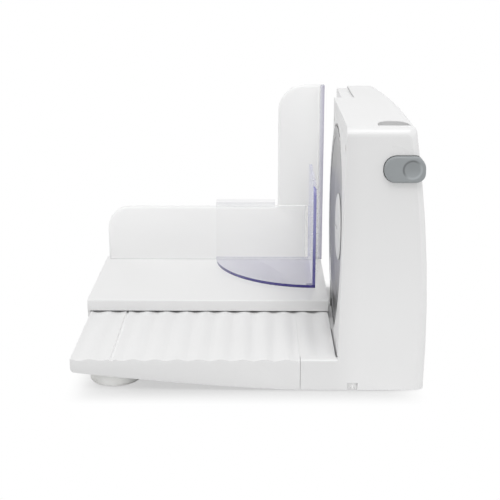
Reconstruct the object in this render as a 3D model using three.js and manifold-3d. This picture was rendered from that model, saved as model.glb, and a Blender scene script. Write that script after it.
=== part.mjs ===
// Household food slicer. A motor housing carries a serrated round blade on its left face and a fixed tray at
// its foot. A carriage with a back wall and a clear food pusher slides on the tray past the blade, a stop
// plate set by a dial gives the slice's thickness, and a push switch runs the motor.
import * as THREE from 'three';
import { mergeVertices } from 'three/addons/utils/BufferGeometryUtils.js';
import Module from 'manifold-3d';

const wasm = await Module();
wasm.setup();

// Sizes are in millimetres. x runs from the cutting plane to the motor side, y from the housing's front
// face to the user, z up from the table.

// Clearances, walls and fastenings
const gap = 0.3;
const slideGap = 0.6;
const wall = 2.5;
const baseClearance = 1;
const postRadius = 4;
const postLength = 18;
const screwRadius = 1.5;
const screwLength = 12;
const screwHead = 2;
const headShare = 2.2;
const plateHeadSink = 1.6;
const bushWall = 3;
const pegRadius = 2;

// Tray and feet
const trayWidth = 200;
const trayTop = 28.9;
const trayThickness = 3;
const wavePitch = 19;
const waveDepth = 1.6;
const skirtDrop = 12.4;
const skirtCurve = 1.45;
const skirtCorner = 4;
const grooveFromEdge = 36;
const grooveWidth = 2.6;
const grooveDepth = 1.7;
const footRadius = 23;
const footRound = 3;
const footDish = 1.5;
const footStem = 8;
const footInset = 29;
const padRadius = 8;
const padThickness = 2;
const padFromEnd = 26;

// Foot block, slot beside the blade and cord outlet
const blockWidth = 31.2;
const blockRound = 2;
const slotWidth = 4.7;
const slotFront = 11;
const slotFloor = 9;
const outletX = 9.9;
const outletWidth = 8.4;
const outletHeight = 7.4;
const outletRecess = 1.2;
const outletRib = 2;
const glandLength = 7;
const cordRadius = 2.6;

// Blade, spindle and blade pocket
const bladeRadius = 95;
const bladeFrontMargin = 21;
const bladeFootGap = 14;
const bladeThickness = 1.6;
const bladeDish = 3.4;
const dishSlope = 16;
const grindWidth = 9;
const toothCount = 60;
const toothDepth = 1.5;
const capRadius = 31.5;
const capHeight = 2.2;
const spindleRadius = 6;
const spindleBushWall = 4;
const bossWall = 4;
const bossLength = 13;
const carrierRadius = 22;
const carrierThickness = 5;
const pocketGap = 2.2;
const pocketDepth = 12;

// Worm drive
const gearModule = 2;
const gearTeeth = 40;
const gearWidth = 10;
const gearWeb = 3;
const gearRim = 4;
const gearHubWall = 5;
const gearX = 42;
const collarWidth = 3.7;
const wormPitchRadius = 8;
const wormLength = 28;
const wormRibGap = 9;
const wormRibThickness = 6;
const wormRibHalf = 11;
const backlash = 0.35;
const motorRadius = 22;
const motorLength = 58;
const motorFront = 13;
const motorNose = 9;
const noseLength = 4;
const motorShoulder = 2;
const shaftRadius = 3;
const strapWidth = 12;
const strapThickness = 1.6;
const strapLug = 5;
const ventCount = 6;
const ventPitch = 7;
const ventWidth = 3;
const ventReach = 16;

// Housing
const crown = 18.5;
const bellyWidth = 73;
const bellyHeight = 45;
const topWidth = 57.5;
const backBow = 11;
const bowLength = 169;
const plateReach = 59;
const bayLength = 94;
const edgeRound = 8;
const topRound = 6;
const faceSetback = 0.4;
const faceLean = 4.2;
const leanLength = 150;
const plateMargin = 4;
const plateRound = 10;
const plateScrewInset = 8;

// Stop plate, its bay and the dial that sets it
const sliceMax = 15;
const sliceSetting = 8.7;
const stopThickness = 4;
const stopRimDepth = 14;
const stopRimWall = 2.5;
const stopInset = 6.5;
const stopFootDrop = 2.9;
const stopCorner = 5;
const stopBladeGap = 1.5;
const skinOverRim = 1.4;
const rodRadius = 4;
const rodLength = 28.5;
const rodSocket = 2.5;
const rodInset = 27;
const rodSpread = 57;
const guideBushLength = 10;
const rackModule = 1.5;
const rackBody = 7;
const rackSocket = 2;
const rackPlay = 0.25;
const pinionTeeth = 8;
const pinionWidth = 10;
const dialRadius = 17;
const dialHeight = 14;
const dialSkirt = 3;
const dialFlutes = 12;
const fluteDepth = 1.2;
const dialSeatRadius = 10.5;
const dialBushLength = 14;

// Switch and thumb scoop
const switchLeft = 31;
const switchRight = 65.5;
const switchDrop = 23.5;
const switchHeight = 22;
const switchProud = 3.5;
const switchDepth = 16;
const switchTravel = 3;
const stemRadius = 4;
const stemReach = 3;
const dimpleRadius = 7.4;
const dimpleDepth = 2.2;
const dimpleX = 54.3;
const scoopLeft = 26;
const scoopRight = 53.5;
const scoopFront = 11;
const scoopBack = 35;
const scoopDepth = 4;
const microWidth = 20;
const microHeight = 10;
const microDepth = 14;

// Carriage, back wall and guards
const tableDepth = 142;
const tableTop = 11.9;
const tableThickness = 3;
const tableLift = 0.9;
const tableRound = 1.5;
const glideWidth = 4;
const flangeDrop = 8;
const flangeThickness = 2.6;
const wallDepth = 9;
const wallRound = 3;
const lowWallHeight = 58.8;
const lowWallCorner = 24;
const guardWidth = 44;
const guardDrop = 0.6;
const guardCorner = 27;
const guardFillet = 4;
const clearThickness = 4;
const clearDepth = 22;
const clearCorner = 16;
const runnerLength = 120;
const runnerWidth = 10;

// Food pusher
const pusherRadius = 103;
const pusherSheet = 3;
const pusherFromBlade = 15.7;
const pusherBackHeight = 61;
const pusherHeight = 106;
const pusherCorner = 20;
const hookWidth = 64;
const hookRise = 3.2;
const hookDrop = 12;
const hookRound = 2;
const spikeHeight = 3;
const spikeRadius = 2.4;
const spikeRows = 5;
const spikeColumns = 4;

// Worked-out places
const seamX = faceSetback - slotWidth - blockWidth;
const blockRight = faceSetback - slotWidth;
const trayRight = seamX - gap;
const trayLeft = trayRight - trayWidth;
const trayUnder = trayTop - waveDepth - trayThickness;
const grooveX = trayLeft + grooveFromEdge;
const bladeY = bladeRadius + bladeFrontMargin;
const bladeZ = slotFloor + bladeFootGap + bladeRadius;
const pocketRadius = bladeRadius + pocketGap;
const gearRadius = gearModule * gearTeeth / 2;
const wormZ = bladeZ - gearRadius - wormPitchRadius;
const housingHeight = bladeZ + bladeRadius + crown;
const bendY = bladeY + plateReach;
const housingDepth = bendY + bayLength;
const bowStart = housingDepth - bowLength;
const plateBack = faceSetback + wall;
const bayDepth = sliceMax + stopThickness + 1;
const stopNear = bendY + gap + 1;
const stopFar = housingDepth - stopInset;
const stopFoot = trayTop - stopFootDrop;
const stopTop = housingHeight - skinOverRim - slideGap;
const rodY = housingDepth - rodInset;
const rods = [['low', bladeZ - rodSpread], ['high', bladeZ + rodSpread]];
const pinionRadius = rackModule * pinionTeeth / 2;
const pinionX = bayDepth + wall + pinionRadius + rackModule + 1;
const dialZ = bladeZ;
const rackHead = dialZ - pinionRadius + 0.8 * rackModule;
const rackFoot = dialZ - pinionRadius - rackModule - rackBody;
const switchHigh = housingHeight - switchDrop;
const switchLow = switchHigh - switchHeight;
const tableFront = housingDepth - tableDepth;
const guardHeight = housingHeight - guardDrop - trayTop - tableTop;

const white = new THREE.MeshStandardMaterial({ color: 0xeff0f1, roughness: 0.42, metalness: 0 });
const pale = new THREE.MeshStandardMaterial({ color: 0xdfe1e3, roughness: 0.5, metalness: 0 });
const grey = new THREE.MeshStandardMaterial({ color: 0x949a9d, roughness: 0.5, metalness: 0 });
const black = new THREE.MeshStandardMaterial({ color: 0x2b2c2e, roughness: 0.6, metalness: 0 });
const nylon = new THREE.MeshStandardMaterial({ color: 0xe2ddcb, roughness: 0.5, metalness: 0 });
const steel = new THREE.MeshStandardMaterial({ color: 0xb9bcbf, roughness: 0.28, metalness: 1 });
const brass = new THREE.MeshStandardMaterial({ color: 0xb08d4c, roughness: 0.35, metalness: 1 });
const clear = new THREE.MeshStandardMaterial({
  color: 0x9a97d6, roughness: 0.08, metalness: 0, transparent: true, opacity: 0.45,
});

// A closed three.js geometry as a solid that can be joined and cut.
function solid(geometry) {
  const bare = new THREE.BufferGeometry();
  bare.setAttribute('position', geometry.getAttribute('position'));
  bare.setIndex(geometry.getIndex());
  const merged = mergeVertices(bare, 1e-4);
  const index = merged.getIndex().array;
  const triangles = [];
  for (let i = 0; i < index.length; i += 3) {
    const [a, b, c] = [index[i], index[i + 1], index[i + 2]];
    if (a !== b && b !== c && c !== a) triangles.push(a, b, c);
  }
  const mesh = new wasm.Mesh({
    numProp: 3,
    vertProperties: Float32Array.from(merged.getAttribute('position').array),
    triVerts: Uint32Array.from(triangles),
  });
  return new wasm.Manifold(mesh);
}

function join(first, ...others) {
  return others.reduce((body, other) => body.add(solid(other)), solid(first));
}

function cut(body, ...tools) {
  return tools.reduce((rest, tool) => rest.subtract(solid(tool)), body);
}

function geometryOf(body) {
  const mesh = body.getMesh();
  const geometry = new THREE.BufferGeometry();
  geometry.setAttribute('position', new THREE.BufferAttribute(Float32Array.from(mesh.vertProperties), 3));
  geometry.setIndex(Array.from(mesh.triVerts));
  geometry.computeVertexNormals();
  return geometry;
}

function piece(parent, name, shape, material) {
  const geometry = shape.isBufferGeometry ? shape : geometryOf(shape);
  const mesh = new THREE.Mesh(geometry, material);
  mesh.name = name;
  parent.add(mesh);
}

// An outline through corners [u, v, radius], each rounded by an arc of its radius.
function outline(corners) {
  const shape = new THREE.Shape();
  corners.forEach(([u, v, radius = 0], i) => {
    const here = new THREE.Vector2(u, v);
    const before = new THREE.Vector2(...corners.at(i - 1).slice(0, 2)).sub(here).normalize();
    const after = new THREE.Vector2(...corners[(i + 1) % corners.length].slice(0, 2)).sub(here).normalize();
    if (radius <= 0) {
      if (i === 0) shape.moveTo(u, v);
      else shape.lineTo(u, v);
      return;
    }
    const half = Math.acos(THREE.MathUtils.clamp(before.dot(after), -1, 1)) / 2;
    const start = here.clone().addScaledVector(before, radius / Math.tan(half));
    const end = here.clone().addScaledVector(after, radius / Math.tan(half));
    const toCentre = before.clone().add(after).normalize();
    const centre = here.clone().addScaledVector(toCentre, radius / Math.sin(half));
    if (i === 0) shape.moveTo(start.x, start.y);
    else shape.lineTo(start.x, start.y);
    const from = Math.atan2(start.y - centre.y, start.x - centre.x);
    const to = Math.atan2(end.y - centre.y, end.x - centre.x);
    shape.absarc(centre.x, centre.y, radius, from, to, before.cross(after) > 0);
  });
  return shape;
}

function extrusion(shape, length, round, segments) {
  const settings = { depth: length - 2 * round, curveSegments: segments, bevelEnabled: round > 0 };
  settings.bevelThickness = round;
  settings.bevelSize = round;
  settings.bevelOffset = -round;
  settings.bevelSegments = 2;
  const flat = new THREE.ExtrudeGeometry(shape, settings).translate(0, 0, round);
  const index = Array.from({ length: flat.getAttribute('position').count }, (_, i) => i);
  return flat.setIndex(index);
}

// Extrusions of a (y, z), (x, z) or (x, y) outline along x, y or z.
function alongX(shape, from, to, round = 0, segments = 4) {
  const axes = new THREE.Matrix4().makeBasis(
    new THREE.Vector3(0, 1, 0), new THREE.Vector3(0, 0, 1), new THREE.Vector3(1, 0, 0));
  return extrusion(shape, to - from, round, segments).applyMatrix4(axes).translate(from, 0, 0);
}

function alongY(shape, from, to, round = 0, segments = 4) {
  return extrusion(shape, to - from, round, segments).rotateX(Math.PI / 2).translate(0, to, 0);
}

function alongZ(shape, from, to, round = 0, segments = 4) {
  return extrusion(shape, to - from, round, segments).translate(0, 0, from);
}

function block(x0, x1, y0, y1, z0, z1) {
  const box = new THREE.BoxGeometry(x1 - x0, y1 - y0, z1 - z0);
  return box.translate((x0 + x1) / 2, (y0 + y1) / 2, (z0 + z1) / 2);
}

// A body of revolution about an axis, from [radius, distance along the axis] points.
function revolve(axis, points, segments = 14) {
  const profile = points.map(([radius, along]) => new THREE.Vector2(radius, along));
  const body = new THREE.LatheGeometry(profile, segments);
  if (axis === 'x') body.rotateZ(-Math.PI / 2);
  if (axis === 'z') body.rotateX(Math.PI / 2);
  return body;
}

function rod(axis, radius, from, to, segments = 14) {
  return revolve(axis, [[0, from], [radius, from], [radius, to], [0, to]], segments);
}

function sleeve(axis, inner, outer, from, to, segments = 14) {
  return revolve(axis, [[inner, from], [outer, from], [outer, to], [inner, to], [inner, from]], segments);
}

// A pan-head screw along an axis, with its head's top at headEnd and its tip at tip.
function screw(axis, headEnd, tip, headHeight = screwHead) {
  const turn = Math.sign(tip - headEnd);
  const underHead = headEnd + turn * headHeight;
  const headRadius = headShare * screwRadius;
  const points = [[0, tip], [screwRadius, tip], [screwRadius, underHead], [headRadius, underHead],
    [0.8 * headRadius, headEnd], [0, headEnd]];
  return revolve(axis, turn > 0 ? points.reverse() : points, 8);
}

// A skin through sections with equal numbers of points, closed at both ends and facing outwards. The ends
// are filled as the flat outlines that the second function gives for their points.
function loft(sections, flat) {
  const count = sections[0].length;
  const points = sections.flat();
  const last = (sections.length - 1) * count;
  const faces = [];
  for (let a = 0; a < last; a += 1) {
    const b = (a + 1) % count === 0 ? a + 1 - count : a + 1;
    faces.push([a, b, a + count], [b, b + count, a + count]);
  }
  const ring = sections[0].map(flat);
  const forward = !THREE.ShapeUtils.isClockWise(ring);
  THREE.ShapeUtils.triangulateShape(ring, []).forEach((face) => {
    const [a, b, c] = forward ? face : [face[2], face[1], face[0]];
    faces.push([c, b, a], [last + a, last + b, last + c]);
  });
  const volume = faces.reduce((sum, [a, b, c]) =>
    sum + points[a].dot(new THREE.Vector3().crossVectors(points[b], points[c])), 0);
  const outward = volume > 0 ? faces : faces.map(([a, b, c]) => [a, c, b]);
  return new THREE.BufferGeometry().setFromPoints(points).setIndex(outward.flat());
}

// The deck's waves, with a crest along the guide groove.
function deckTop(x) {
  const phase = 2 * Math.PI * (x - grooveX) / wavePitch;
  return trayTop - waveDepth * (1 - Math.cos(phase)) / 2;
}

function deckPoints(from, to) {
  const steps = Math.ceil(6 * Math.abs(to - from) / wavePitch);
  return Array.from({ length: steps + 1 }, (_, i) => {
    const x = from + (to - from) * i / steps;
    return new THREE.Vector2(x, deckTop(x));
  });
}

// Housing: the right side bows out to a belly, leans in to the top and curves in towards the back.
const bowSteps = [0, 0.22, 0.44, 0.66, 0.84];
function sideTaper(y) {
  const past = Math.max(y - bowStart, 0);
  return backBow * (past / bowLength) ** 2;
}

function housingSide(y, z) {
  const rise = (z - bellyHeight) / (housingHeight - bellyHeight);
  return bellyWidth - (bellyWidth - topWidth) * rise * rise - sideTaper(y);
}

function housingSection(y, inset, edge, left, bottom, facets) {
  const top = housingHeight - inset - edge;
  const round = Math.max(topRound - inset, 1);
  const side = (z) => housingSide(y, z) - inset - edge;
  const steps = 6;
  const points = [];
  for (let i = 0; i <= steps; i += 1) {
    const z = bottom + (top - round - bottom) * i / steps;
    points.push(new THREE.Vector3(side(z), y, z));
  }
  const centreX = side(top - round) - round;
  for (let i = 1; i <= facets; i += 1) {
    const turn = Math.PI / 2 * i / facets;
    const x = centreX + round * Math.cos(turn);
    points.push(new THREE.Vector3(x, y, top - round + round * Math.sin(turn)));
  }
  points.push(new THREE.Vector3(left, y, top));
  points.push(new THREE.Vector3(left, y, bottom));
  return points;
}

function housingBody(inset, left, bottom, facets) {
  const round = edgeRound - inset;
  const [front, back] = [inset, housingDepth - inset];
  const arc = Array.from({ length: facets + 1 }, (_, i) => Math.PI / 2 * i / facets);
  const near = arc.map((turn) => [front + round * (1 - Math.cos(turn)), round * (1 - Math.sin(turn))]);
  const far = arc.map((turn) => [back - round * (1 - Math.cos(turn)), round * (1 - Math.sin(turn))]);
  const between = bowSteps.map((share) => [bowStart + bowLength * share, 0]);
  const stations = [...near, ...between, ...far.reverse()];
  const sections = stations.map(([y, edge]) => housingSection(y, inset, edge, left, bottom, facets));
  return loft(sections, (p) => new THREE.Vector2(p.x, p.z));
}

// The housing's blade side leans out to the left towards its foot, up to a little past the blade's middle.
const leanTop = housingHeight - edgeRound;
function leaningSide(from, to, x) {
  const foot = faceSetback - faceLean * (1 - baseClearance / leanTop);
  const shape = outline([[x, baseClearance], [foot, baseClearance], [faceSetback, leanTop], [x, leanTop]]);
  return alongY(shape, from, to);
}

// The plate that closes the housing on the blade's side, as a (y, z) outline.
const plateFoot = slotFloor + wall + plateMargin;
const plateHead = housingHeight - edgeRound - plateMargin;
const plateFar = bendY - wall - gap;
function plateOutline(grow) {
  const front = wall + plateMargin - grow;
  return outline([
    [front, plateFoot - grow, plateRound], [plateFar + grow, plateFoot - grow],
    [plateFar + grow, plateHead + grow], [front, plateHead + grow, plateRound],
  ]);
}

const plateScrews = [
  ['front_low', wall + plateMargin + plateScrewInset, plateFoot + plateScrewInset],
  ['back_low', plateFar - plateScrewInset, plateFoot + plateScrewInset],
  ['front_high', wall + plateMargin + plateScrewInset, plateHead - plateScrewInset],
  ['back_high', plateFar - plateScrewInset, plateHead - plateScrewInset],
];

// The switch's outline as seen from the front, with a full round left end and a blunt right end.
function switchOutline(grow) {
  const round = 0.94 * ((switchHigh - switchLow) / 2 + grow);
  return outline([
    [switchLeft - grow, switchLow - grow, round], [switchRight + grow, switchLow - grow, 0.75 * round],
    [switchRight + grow, switchHigh + grow, round], [switchLeft - grow, switchHigh + grow, round],
  ]);
}

const wellBack = switchDepth - switchProud + switchTravel + 1;
const stemX = (switchLeft + dimpleX) / 2;
const stemZ = (switchLow + switchHigh) / 2;
const postSink = 0.5;
const panSides = 40;
const coverScrews = [
  ['front', gearX, wall + postRadius - postSink],
  ['rear', pinionX, housingDepth - wall - postRadius + postSink],
];
const coverTop = padThickness + wall;

function housingShell() {
  const blockSide = outline([
    [0, baseClearance], [housingDepth, baseClearance], [housingDepth, trayTop, blockRound],
    [0, trayTop, blockRound],
  ]);
  let body = join(
    housingBody(0, faceSetback, baseClearance, 5),
    alongX(blockSide, seamX, faceSetback + wall),
  );
  const bay = block(-slotWidth, bayDepth, bendY, housingDepth + 1, slotFloor, housingHeight + 1);
  const slot = block(blockRight, faceSetback, slotFront, housingDepth - slotFront, slotFloor, trayTop + 1);
  const waves = new THREE.Shape([
    ...deckPoints(seamX - 1, blockRight), new THREE.Vector2(blockRight, trayTop + 1),
    new THREE.Vector2(seamX - 1, trayTop + 1),
  ]);
  const blockHollow = block(seamX + wall, blockRight - wall, wall, housingDepth - wall, -1, trayUnder);
  body = cut(body, bay, slot, blockHollow, alongY(waves, slotFront, housingDepth - slotFront))
    .add(solid(leaningSide(0, leanLength, plateBack)));

  const wellBlock = alongY(switchOutline(slideGap + wall), -1, wellBack + wall);
  const bayBlock = block(-slotWidth, bayDepth + wall, bendY - wall, housingDepth, -slotFloor, housingHeight);
  const scoopBlock = block(scoopLeft - wall, scoopRight + wall, 0, scoopBack + wall,
    housingHeight - scoopDepth - wall, housingHeight);
  const hollow = cut(solid(housingBody(wall, plateBack, -slotFloor, 3)), wellBlock, bayBlock, scoopBlock);
  body = body.subtract(hollow);

  const posts = plateScrews.map(([, y, z]) =>
    rod('x', postRadius, plateBack + gap, housingSide(y, z) - wall / 2, 12).translate(0, y, z));
  const coverPosts = coverScrews.map(([, x, y]) =>
    rod('z', postRadius, coverTop + gap, coverTop + postLength, 12).translate(x, y, 0));
  const rodPosts = rods.map(([, z]) =>
    rod('x', rodRadius + 2 * bushWall, bayDepth + wall / 2, bayDepth + guideBushLength)
      .translate(0, rodY, z));
  const dialSeat = rod('y', dialSeatRadius, housingDepth - dialBushLength, housingDepth + gap)
    .translate(pinionX, 0, dialZ);
  body = [...posts, ...coverPosts, ...rodPosts, dialSeat].reduce((all, post) => all.add(solid(post)), body);

  const pilots = plateScrews.map(([, y, z]) =>
    rod('x', screwRadius + gap, plateBack, plateBack + screwLength, 8).translate(0, y, z));
  const coverPilots = coverScrews.map(([, x, y]) =>
    rod('z', screwRadius + gap, coverTop, coverTop + screwLength, 8).translate(x, y, 0));
  const bushBores = rods.map(([, z]) =>
    rod('x', rodRadius + bushWall + gap, bayDepth - 1, bayDepth + guideBushLength + 1).translate(0, rodY, z));
  const dialBore = rod('y', shaftRadius + bushWall + gap, housingDepth - dialBushLength - 1, housingDepth + 1)
    .translate(pinionX, 0, dialZ);
  const rackSlot = block(bayDepth - 1, bayDepth + wall + 1, rodY - pinionWidth / 2 - slideGap,
    rodY + pinionWidth / 2 + slideGap, rackFoot - slideGap, rackHead + slideGap);
  const rimSlot = block(bayDepth - 1, sliceMax + stopRimDepth + slideGap, stopNear - slideGap,
    stopFar + slideGap, stopTop - stopRimWall - slideGap, stopTop + slideGap);
  const pocket = rod('x', pocketRadius, -slotWidth, pocketDepth + wall, panSides)
    .translate(0, bladeY, bladeZ);
  const opening = alongX(plateOutline(gap), -slotWidth, plateBack + 0.5);
  const well = alongY(switchOutline(slideGap), -1, wellBack);
  const stemHole = rod('y', stemRadius + slideGap, wellBack - 1, wellBack + wall + 1, 12)
    .translate(stemX, 0, stemZ);
  const blockHoles = trayScrewPlaces.map((y) =>
    rod('x', screwRadius + gap, seamX - 1, seamX + wall + 1, 8).translate(0, y, trayScrewZ));
  const outlet = block(outletX - outletWidth / 2, outletX + outletWidth / 2, -1, wall + 1, -1, outletHeight);
  const scoop = alongZ(scoopOutline(), housingHeight - scoopDepth, housingHeight + 1);
  return cut(body, ...pilots, ...coverPilots, ...bushBores, dialBore, rackSlot, rimSlot, pocket, opening,
    well, stemHole, ...blockHoles, outlet, scoop);
}

// The thumb scoop on the housing's top: straight at the front, one wide arc at the back.
function scoopOutline() {
  const shape = new THREE.Shape();
  const middle = (scoopLeft + scoopRight) / 2;
  const bow = (scoopRight - scoopLeft) / 4;
  const cheek = scoopBack - (scoopBack - scoopFront) / 6;
  shape.moveTo(scoopLeft, scoopFront);
  shape.lineTo(scoopRight, scoopFront);
  shape.bezierCurveTo(scoopRight, cheek, middle + bow, scoopBack, middle, scoopBack);
  shape.bezierCurveTo(middle - bow, scoopBack, scoopLeft, cheek, scoopLeft, scoopFront);
  return shape;
}

// The blade-side plate: a round pan for the blade, the spindle's boss, saddles for the motor and a rib that
// holds the worm's outer bush.
const bossRadius = spindleRadius + spindleBushWall + bossWall;
const bushEnd = pocketDepth + bossLength;
const saddles = [motorFront + strapWidth, motorFront + motorLength - strapWidth];
const wormRibY = bladeY + wormLength / 2 + wormRibGap;
function bladePlate() {
  const floorBack = pocketDepth + wall;
  const pan = revolve('x', [
    [0, pocketDepth], [pocketRadius, pocketDepth], [pocketRadius, plateBack - 1],
    [pocketRadius + wall, plateBack - 1], [pocketRadius + wall, floorBack], [0, floorBack],
  ], panSides).translate(0, bladeY, bladeZ);
  const boss = rod('x', bossRadius, pocketDepth, bushEnd).translate(0, bladeY, bladeZ);
  const saddleHalf = motorRadius + strapLug;
  const saddleRibs = saddles.map((y) =>
    block(floorBack - 1, gearX, y - wall / 2, y + wall / 2, wormZ - saddleHalf, wormZ + saddleHalf));
  const wormRib = block(floorBack - 1, gearX + wormRibHalf, wormRibY, wormRibY + wormRibThickness,
    wormZ - wormRibHalf, wormZ + wormRibHalf);
  const leaning = solid(alongX(plateOutline(0), -slotWidth, plateBack))
    .intersect(solid(leaningSide(0, leanLength, plateBack)));
  let body = solid(alongX(plateOutline(0), faceSetback, plateBack)).add(leaning);
  body = cut(body, rod('x', pocketRadius, -slotWidth, plateBack + 1, panSides).translate(0, bladeY, bladeZ));
  const farSide = block(-1, bushEnd, plateFar, bladeY + 2 * pocketRadius, 0, housingHeight);
  body = body.add(cut(solid(pan), farSide));
  body = [boss, ...saddleRibs, wormRib].reduce((all, rib) => all.add(solid(rib)), body);
  const bores = plateScrews.flatMap(([, y, z]) => [
    rod('x', screwRadius + gap, -1, plateBack + 1, 8).translate(0, y, z),
    rod('x', headShare * screwRadius + gap, -slotWidth, faceSetback + plateHeadSink, 8).translate(0, y, z),
  ]);
  const bushBore = rod('x', spindleRadius + spindleBushWall + gap, pocketDepth - 1, bushEnd + 1)
    .translate(0, bladeY, bladeZ);
  const motorBore = rod('y', motorRadius + gap, motorFront, motorFront + motorLength, 20)
    .translate(gearX, 0, wormZ);
  const wormBore = rod('y', shaftRadius + bushWall + gap, wormRibY - 1, wormRibY + wormRibThickness + 1)
    .translate(gearX, 0, wormZ);
  return cut(body, ...bores, bushBore, motorBore, wormBore);
}

// The cover under the housing, with rows of air slots below the motor.
function bottomCover() {
  const edge = wall + 2 * gap;
  const far = housingDepth - edge;
  const corner = edgeRound - edge;
  const sideAt = (y) => housingSide(y, baseClearance) - edge;
  const shape = outline([
    [plateBack + gap, edge], [sideAt(edge), edge, corner],
    ...bowSteps.map((share) => bowStart + bowLength * share).map((y) => [sideAt(y), y]),
    [sideAt(far), far, corner], [bayDepth + edge, far], [bayDepth + edge, bendY - edge],
    [plateBack + gap, bendY - edge],
  ]);
  const slots = Array.from({ length: ventCount }, (_, i) => {
    const front = motorFront + (motorLength - ventWidth) / 2 + ventPitch * (i - (ventCount - 1) / 2);
    return block(gearX - ventReach, gearX + ventReach, front, front + ventWidth, 0, coverTop + 1);
  });
  const holes = coverScrews.map(([, x, y]) =>
    rod('z', screwRadius + gap, 0, coverTop + 1, 8).translate(x, y, 0));
  const spigots = padPlaces.map(([, x, y]) =>
    rod('z', padRadius / 3 + gap, 0, coverTop + 1, 12).translate(x, y, 0));
  const glandHalf = outletWidth / 2 + gap;
  const glandRoom = block(outletX - glandHalf, outletX + glandHalf, 0, glandBack + gap, 0, coverTop + 1);
  return cut(solid(alongZ(shape, padThickness + gap, coverTop)), ...slots, ...holes, ...spigots, glandRoom);
}

const padPlaces = [
  ['front', gearX + 2 * padRadius, padFromEnd], ['middle', outletX + padRadius / 2, bendY / 2],
  ['rear', pinionX, housingDepth - padFromEnd],
];
function housingPad() {
  const top = coverTop + 1;
  return revolve('z', [
    [0, 0], [padRadius - 1, 0], [padRadius, 1], [padRadius, padThickness], [padRadius / 3, padThickness],
    [padRadius / 3, top], [0, top],
  ], 12);
}

// The cord's gland stands in the notch at the foot of the front wall: an arch for the cord behind a rib.
const glandBack = outletRecess + glandLength;
function cordGland() {
  const [left, right] = [outletX - outletWidth / 2 + gap, outletX + outletWidth / 2 - gap];
  const [foot, top] = [baseClearance + gap, outletHeight - gap];
  const body = solid(block(left, right, outletRecess, glandBack, foot, top));
  const arch = rod('y', cordRadius, outletRecess - 1, glandBack + 1, 12).translate(outletX, 0, foot);
  const rib = block(outletX - outletRib / 2, outletX + outletRib / 2, gap, outletRecess + 1, foot, top);
  return cut(body, arch).add(solid(rib));
}

// The tray: a waved top, skirts whose lower edge sweeps up to the left end, ribs and foot bosses below.
function traySkirt(x) {
  const share = (trayRight - x) / trayWidth;
  return baseClearance + (trayTop - skirtDrop - baseClearance) * share ** skirtCurve;
}

function trayOutline() {
  const skirtSteps = 10;
  const shape = new THREE.Shape();
  shape.moveTo(trayRight, traySkirt(trayRight));
  deckPoints(trayRight, trayLeft).forEach((p) => shape.lineTo(p.x, p.y));
  shape.lineTo(trayLeft, traySkirt(trayLeft) + skirtCorner);
  const cornerEnd = trayLeft + skirtCorner;
  shape.quadraticCurveTo(trayLeft, traySkirt(trayLeft), cornerEnd, traySkirt(cornerEnd));
  for (let i = 1; i < skirtSteps; i += 1) {
    const x = cornerEnd + (trayRight - cornerEnd) * i / skirtSteps;
    shape.lineTo(x, traySkirt(x));
  }
  return shape;
}

const trayScrewZ = trayTop / 2;
const trayScrewPlaces = [footInset + strapWidth, housingDepth - footInset - strapWidth];
const footPlaces = [['front', footInset], ['rear', housingDepth - footInset]];
const socketFoot = trayTop - skirtDrop + 1;
const keelFoot = trayTop - grooveDepth - wall - 1;
function baseTray() {
  let body = solid(alongY(trayOutline(), 0, housingDepth));
  body = cut(body, block(trayLeft + wall, trayRight - wall, wall, housingDepth - wall, -1, trayUnder));
  const keelHalf = grooveWidth / 2 + wall;
  const keel = block(grooveX - keelHalf, grooveX + keelHalf, wall / 2, housingDepth - wall / 2,
    keelFoot, trayUnder + 1);
  const ribs = [1, 2, 3].map((i) => {
    const y = housingDepth * i / 4;
    return block(trayLeft + wall / 2, trayRight - wall / 2, y - wall / 2, y + wall / 2,
      socketFoot, trayUnder + 1);
  });
  const sockets = footPlaces.map(([, y]) =>
    sleeve('z', footStem + gap, footStem + gap + wall, socketFoot, trayUnder + 1).translate(grooveX, y, 0));
  body = [keel, ...ribs].reduce((all, rib) => all.add(solid(rib)), body);
  const socketRoom = footPlaces.map(([, y]) =>
    rod('z', footStem + gap, socketFoot - 1, keelFoot + 1).translate(grooveX, y, 0));
  body = sockets.reduce((all, socket) => all.add(solid(socket)), cut(body, ...socketRoom));
  const groove = block(grooveX - grooveWidth / 2, grooveX + grooveWidth / 2, -1, housingDepth + 1,
    trayTop - grooveDepth, trayTop + 1);
  const holes = trayScrewPlaces.map((y) =>
    rod('x', screwRadius + gap, trayRight - wall - 1, trayRight + 1, 8).translate(0, y, trayScrewZ));
  return cut(body, groove, ...holes);
}

// A soft round foot: a straight-sided cup with a rounded rim, hollow below, and a stem in the tray's socket.
function trayFoot() {
  const neck = traySkirt(grooveX) - 1;
  const top = keelFoot + 1 - gap;
  const rim = [0, 1, 2].map((i) => {
    const turn = Math.PI / 2 * i / 2;
    return [footRadius - footRound * (1 - Math.sin(turn)), footRound * (1 - Math.cos(turn))];
  });
  return revolve('z', [
    [0, footDish], [footRadius - 2 * footRound, footDish], [footRadius - 1.5 * footRound, 0], ...rim,
    [footRadius, neck], [footStem, neck], [footStem, top], [0, top],
  ], 20);
}

// The worm wheel: teeth that lean with the worm's lead, a thin web, a rim and a hub.
function gearTooth(angle, spread, radius) {
  return new THREE.Vector2(radius * Math.cos(angle + spread), radius * Math.sin(angle + spread));
}

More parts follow.
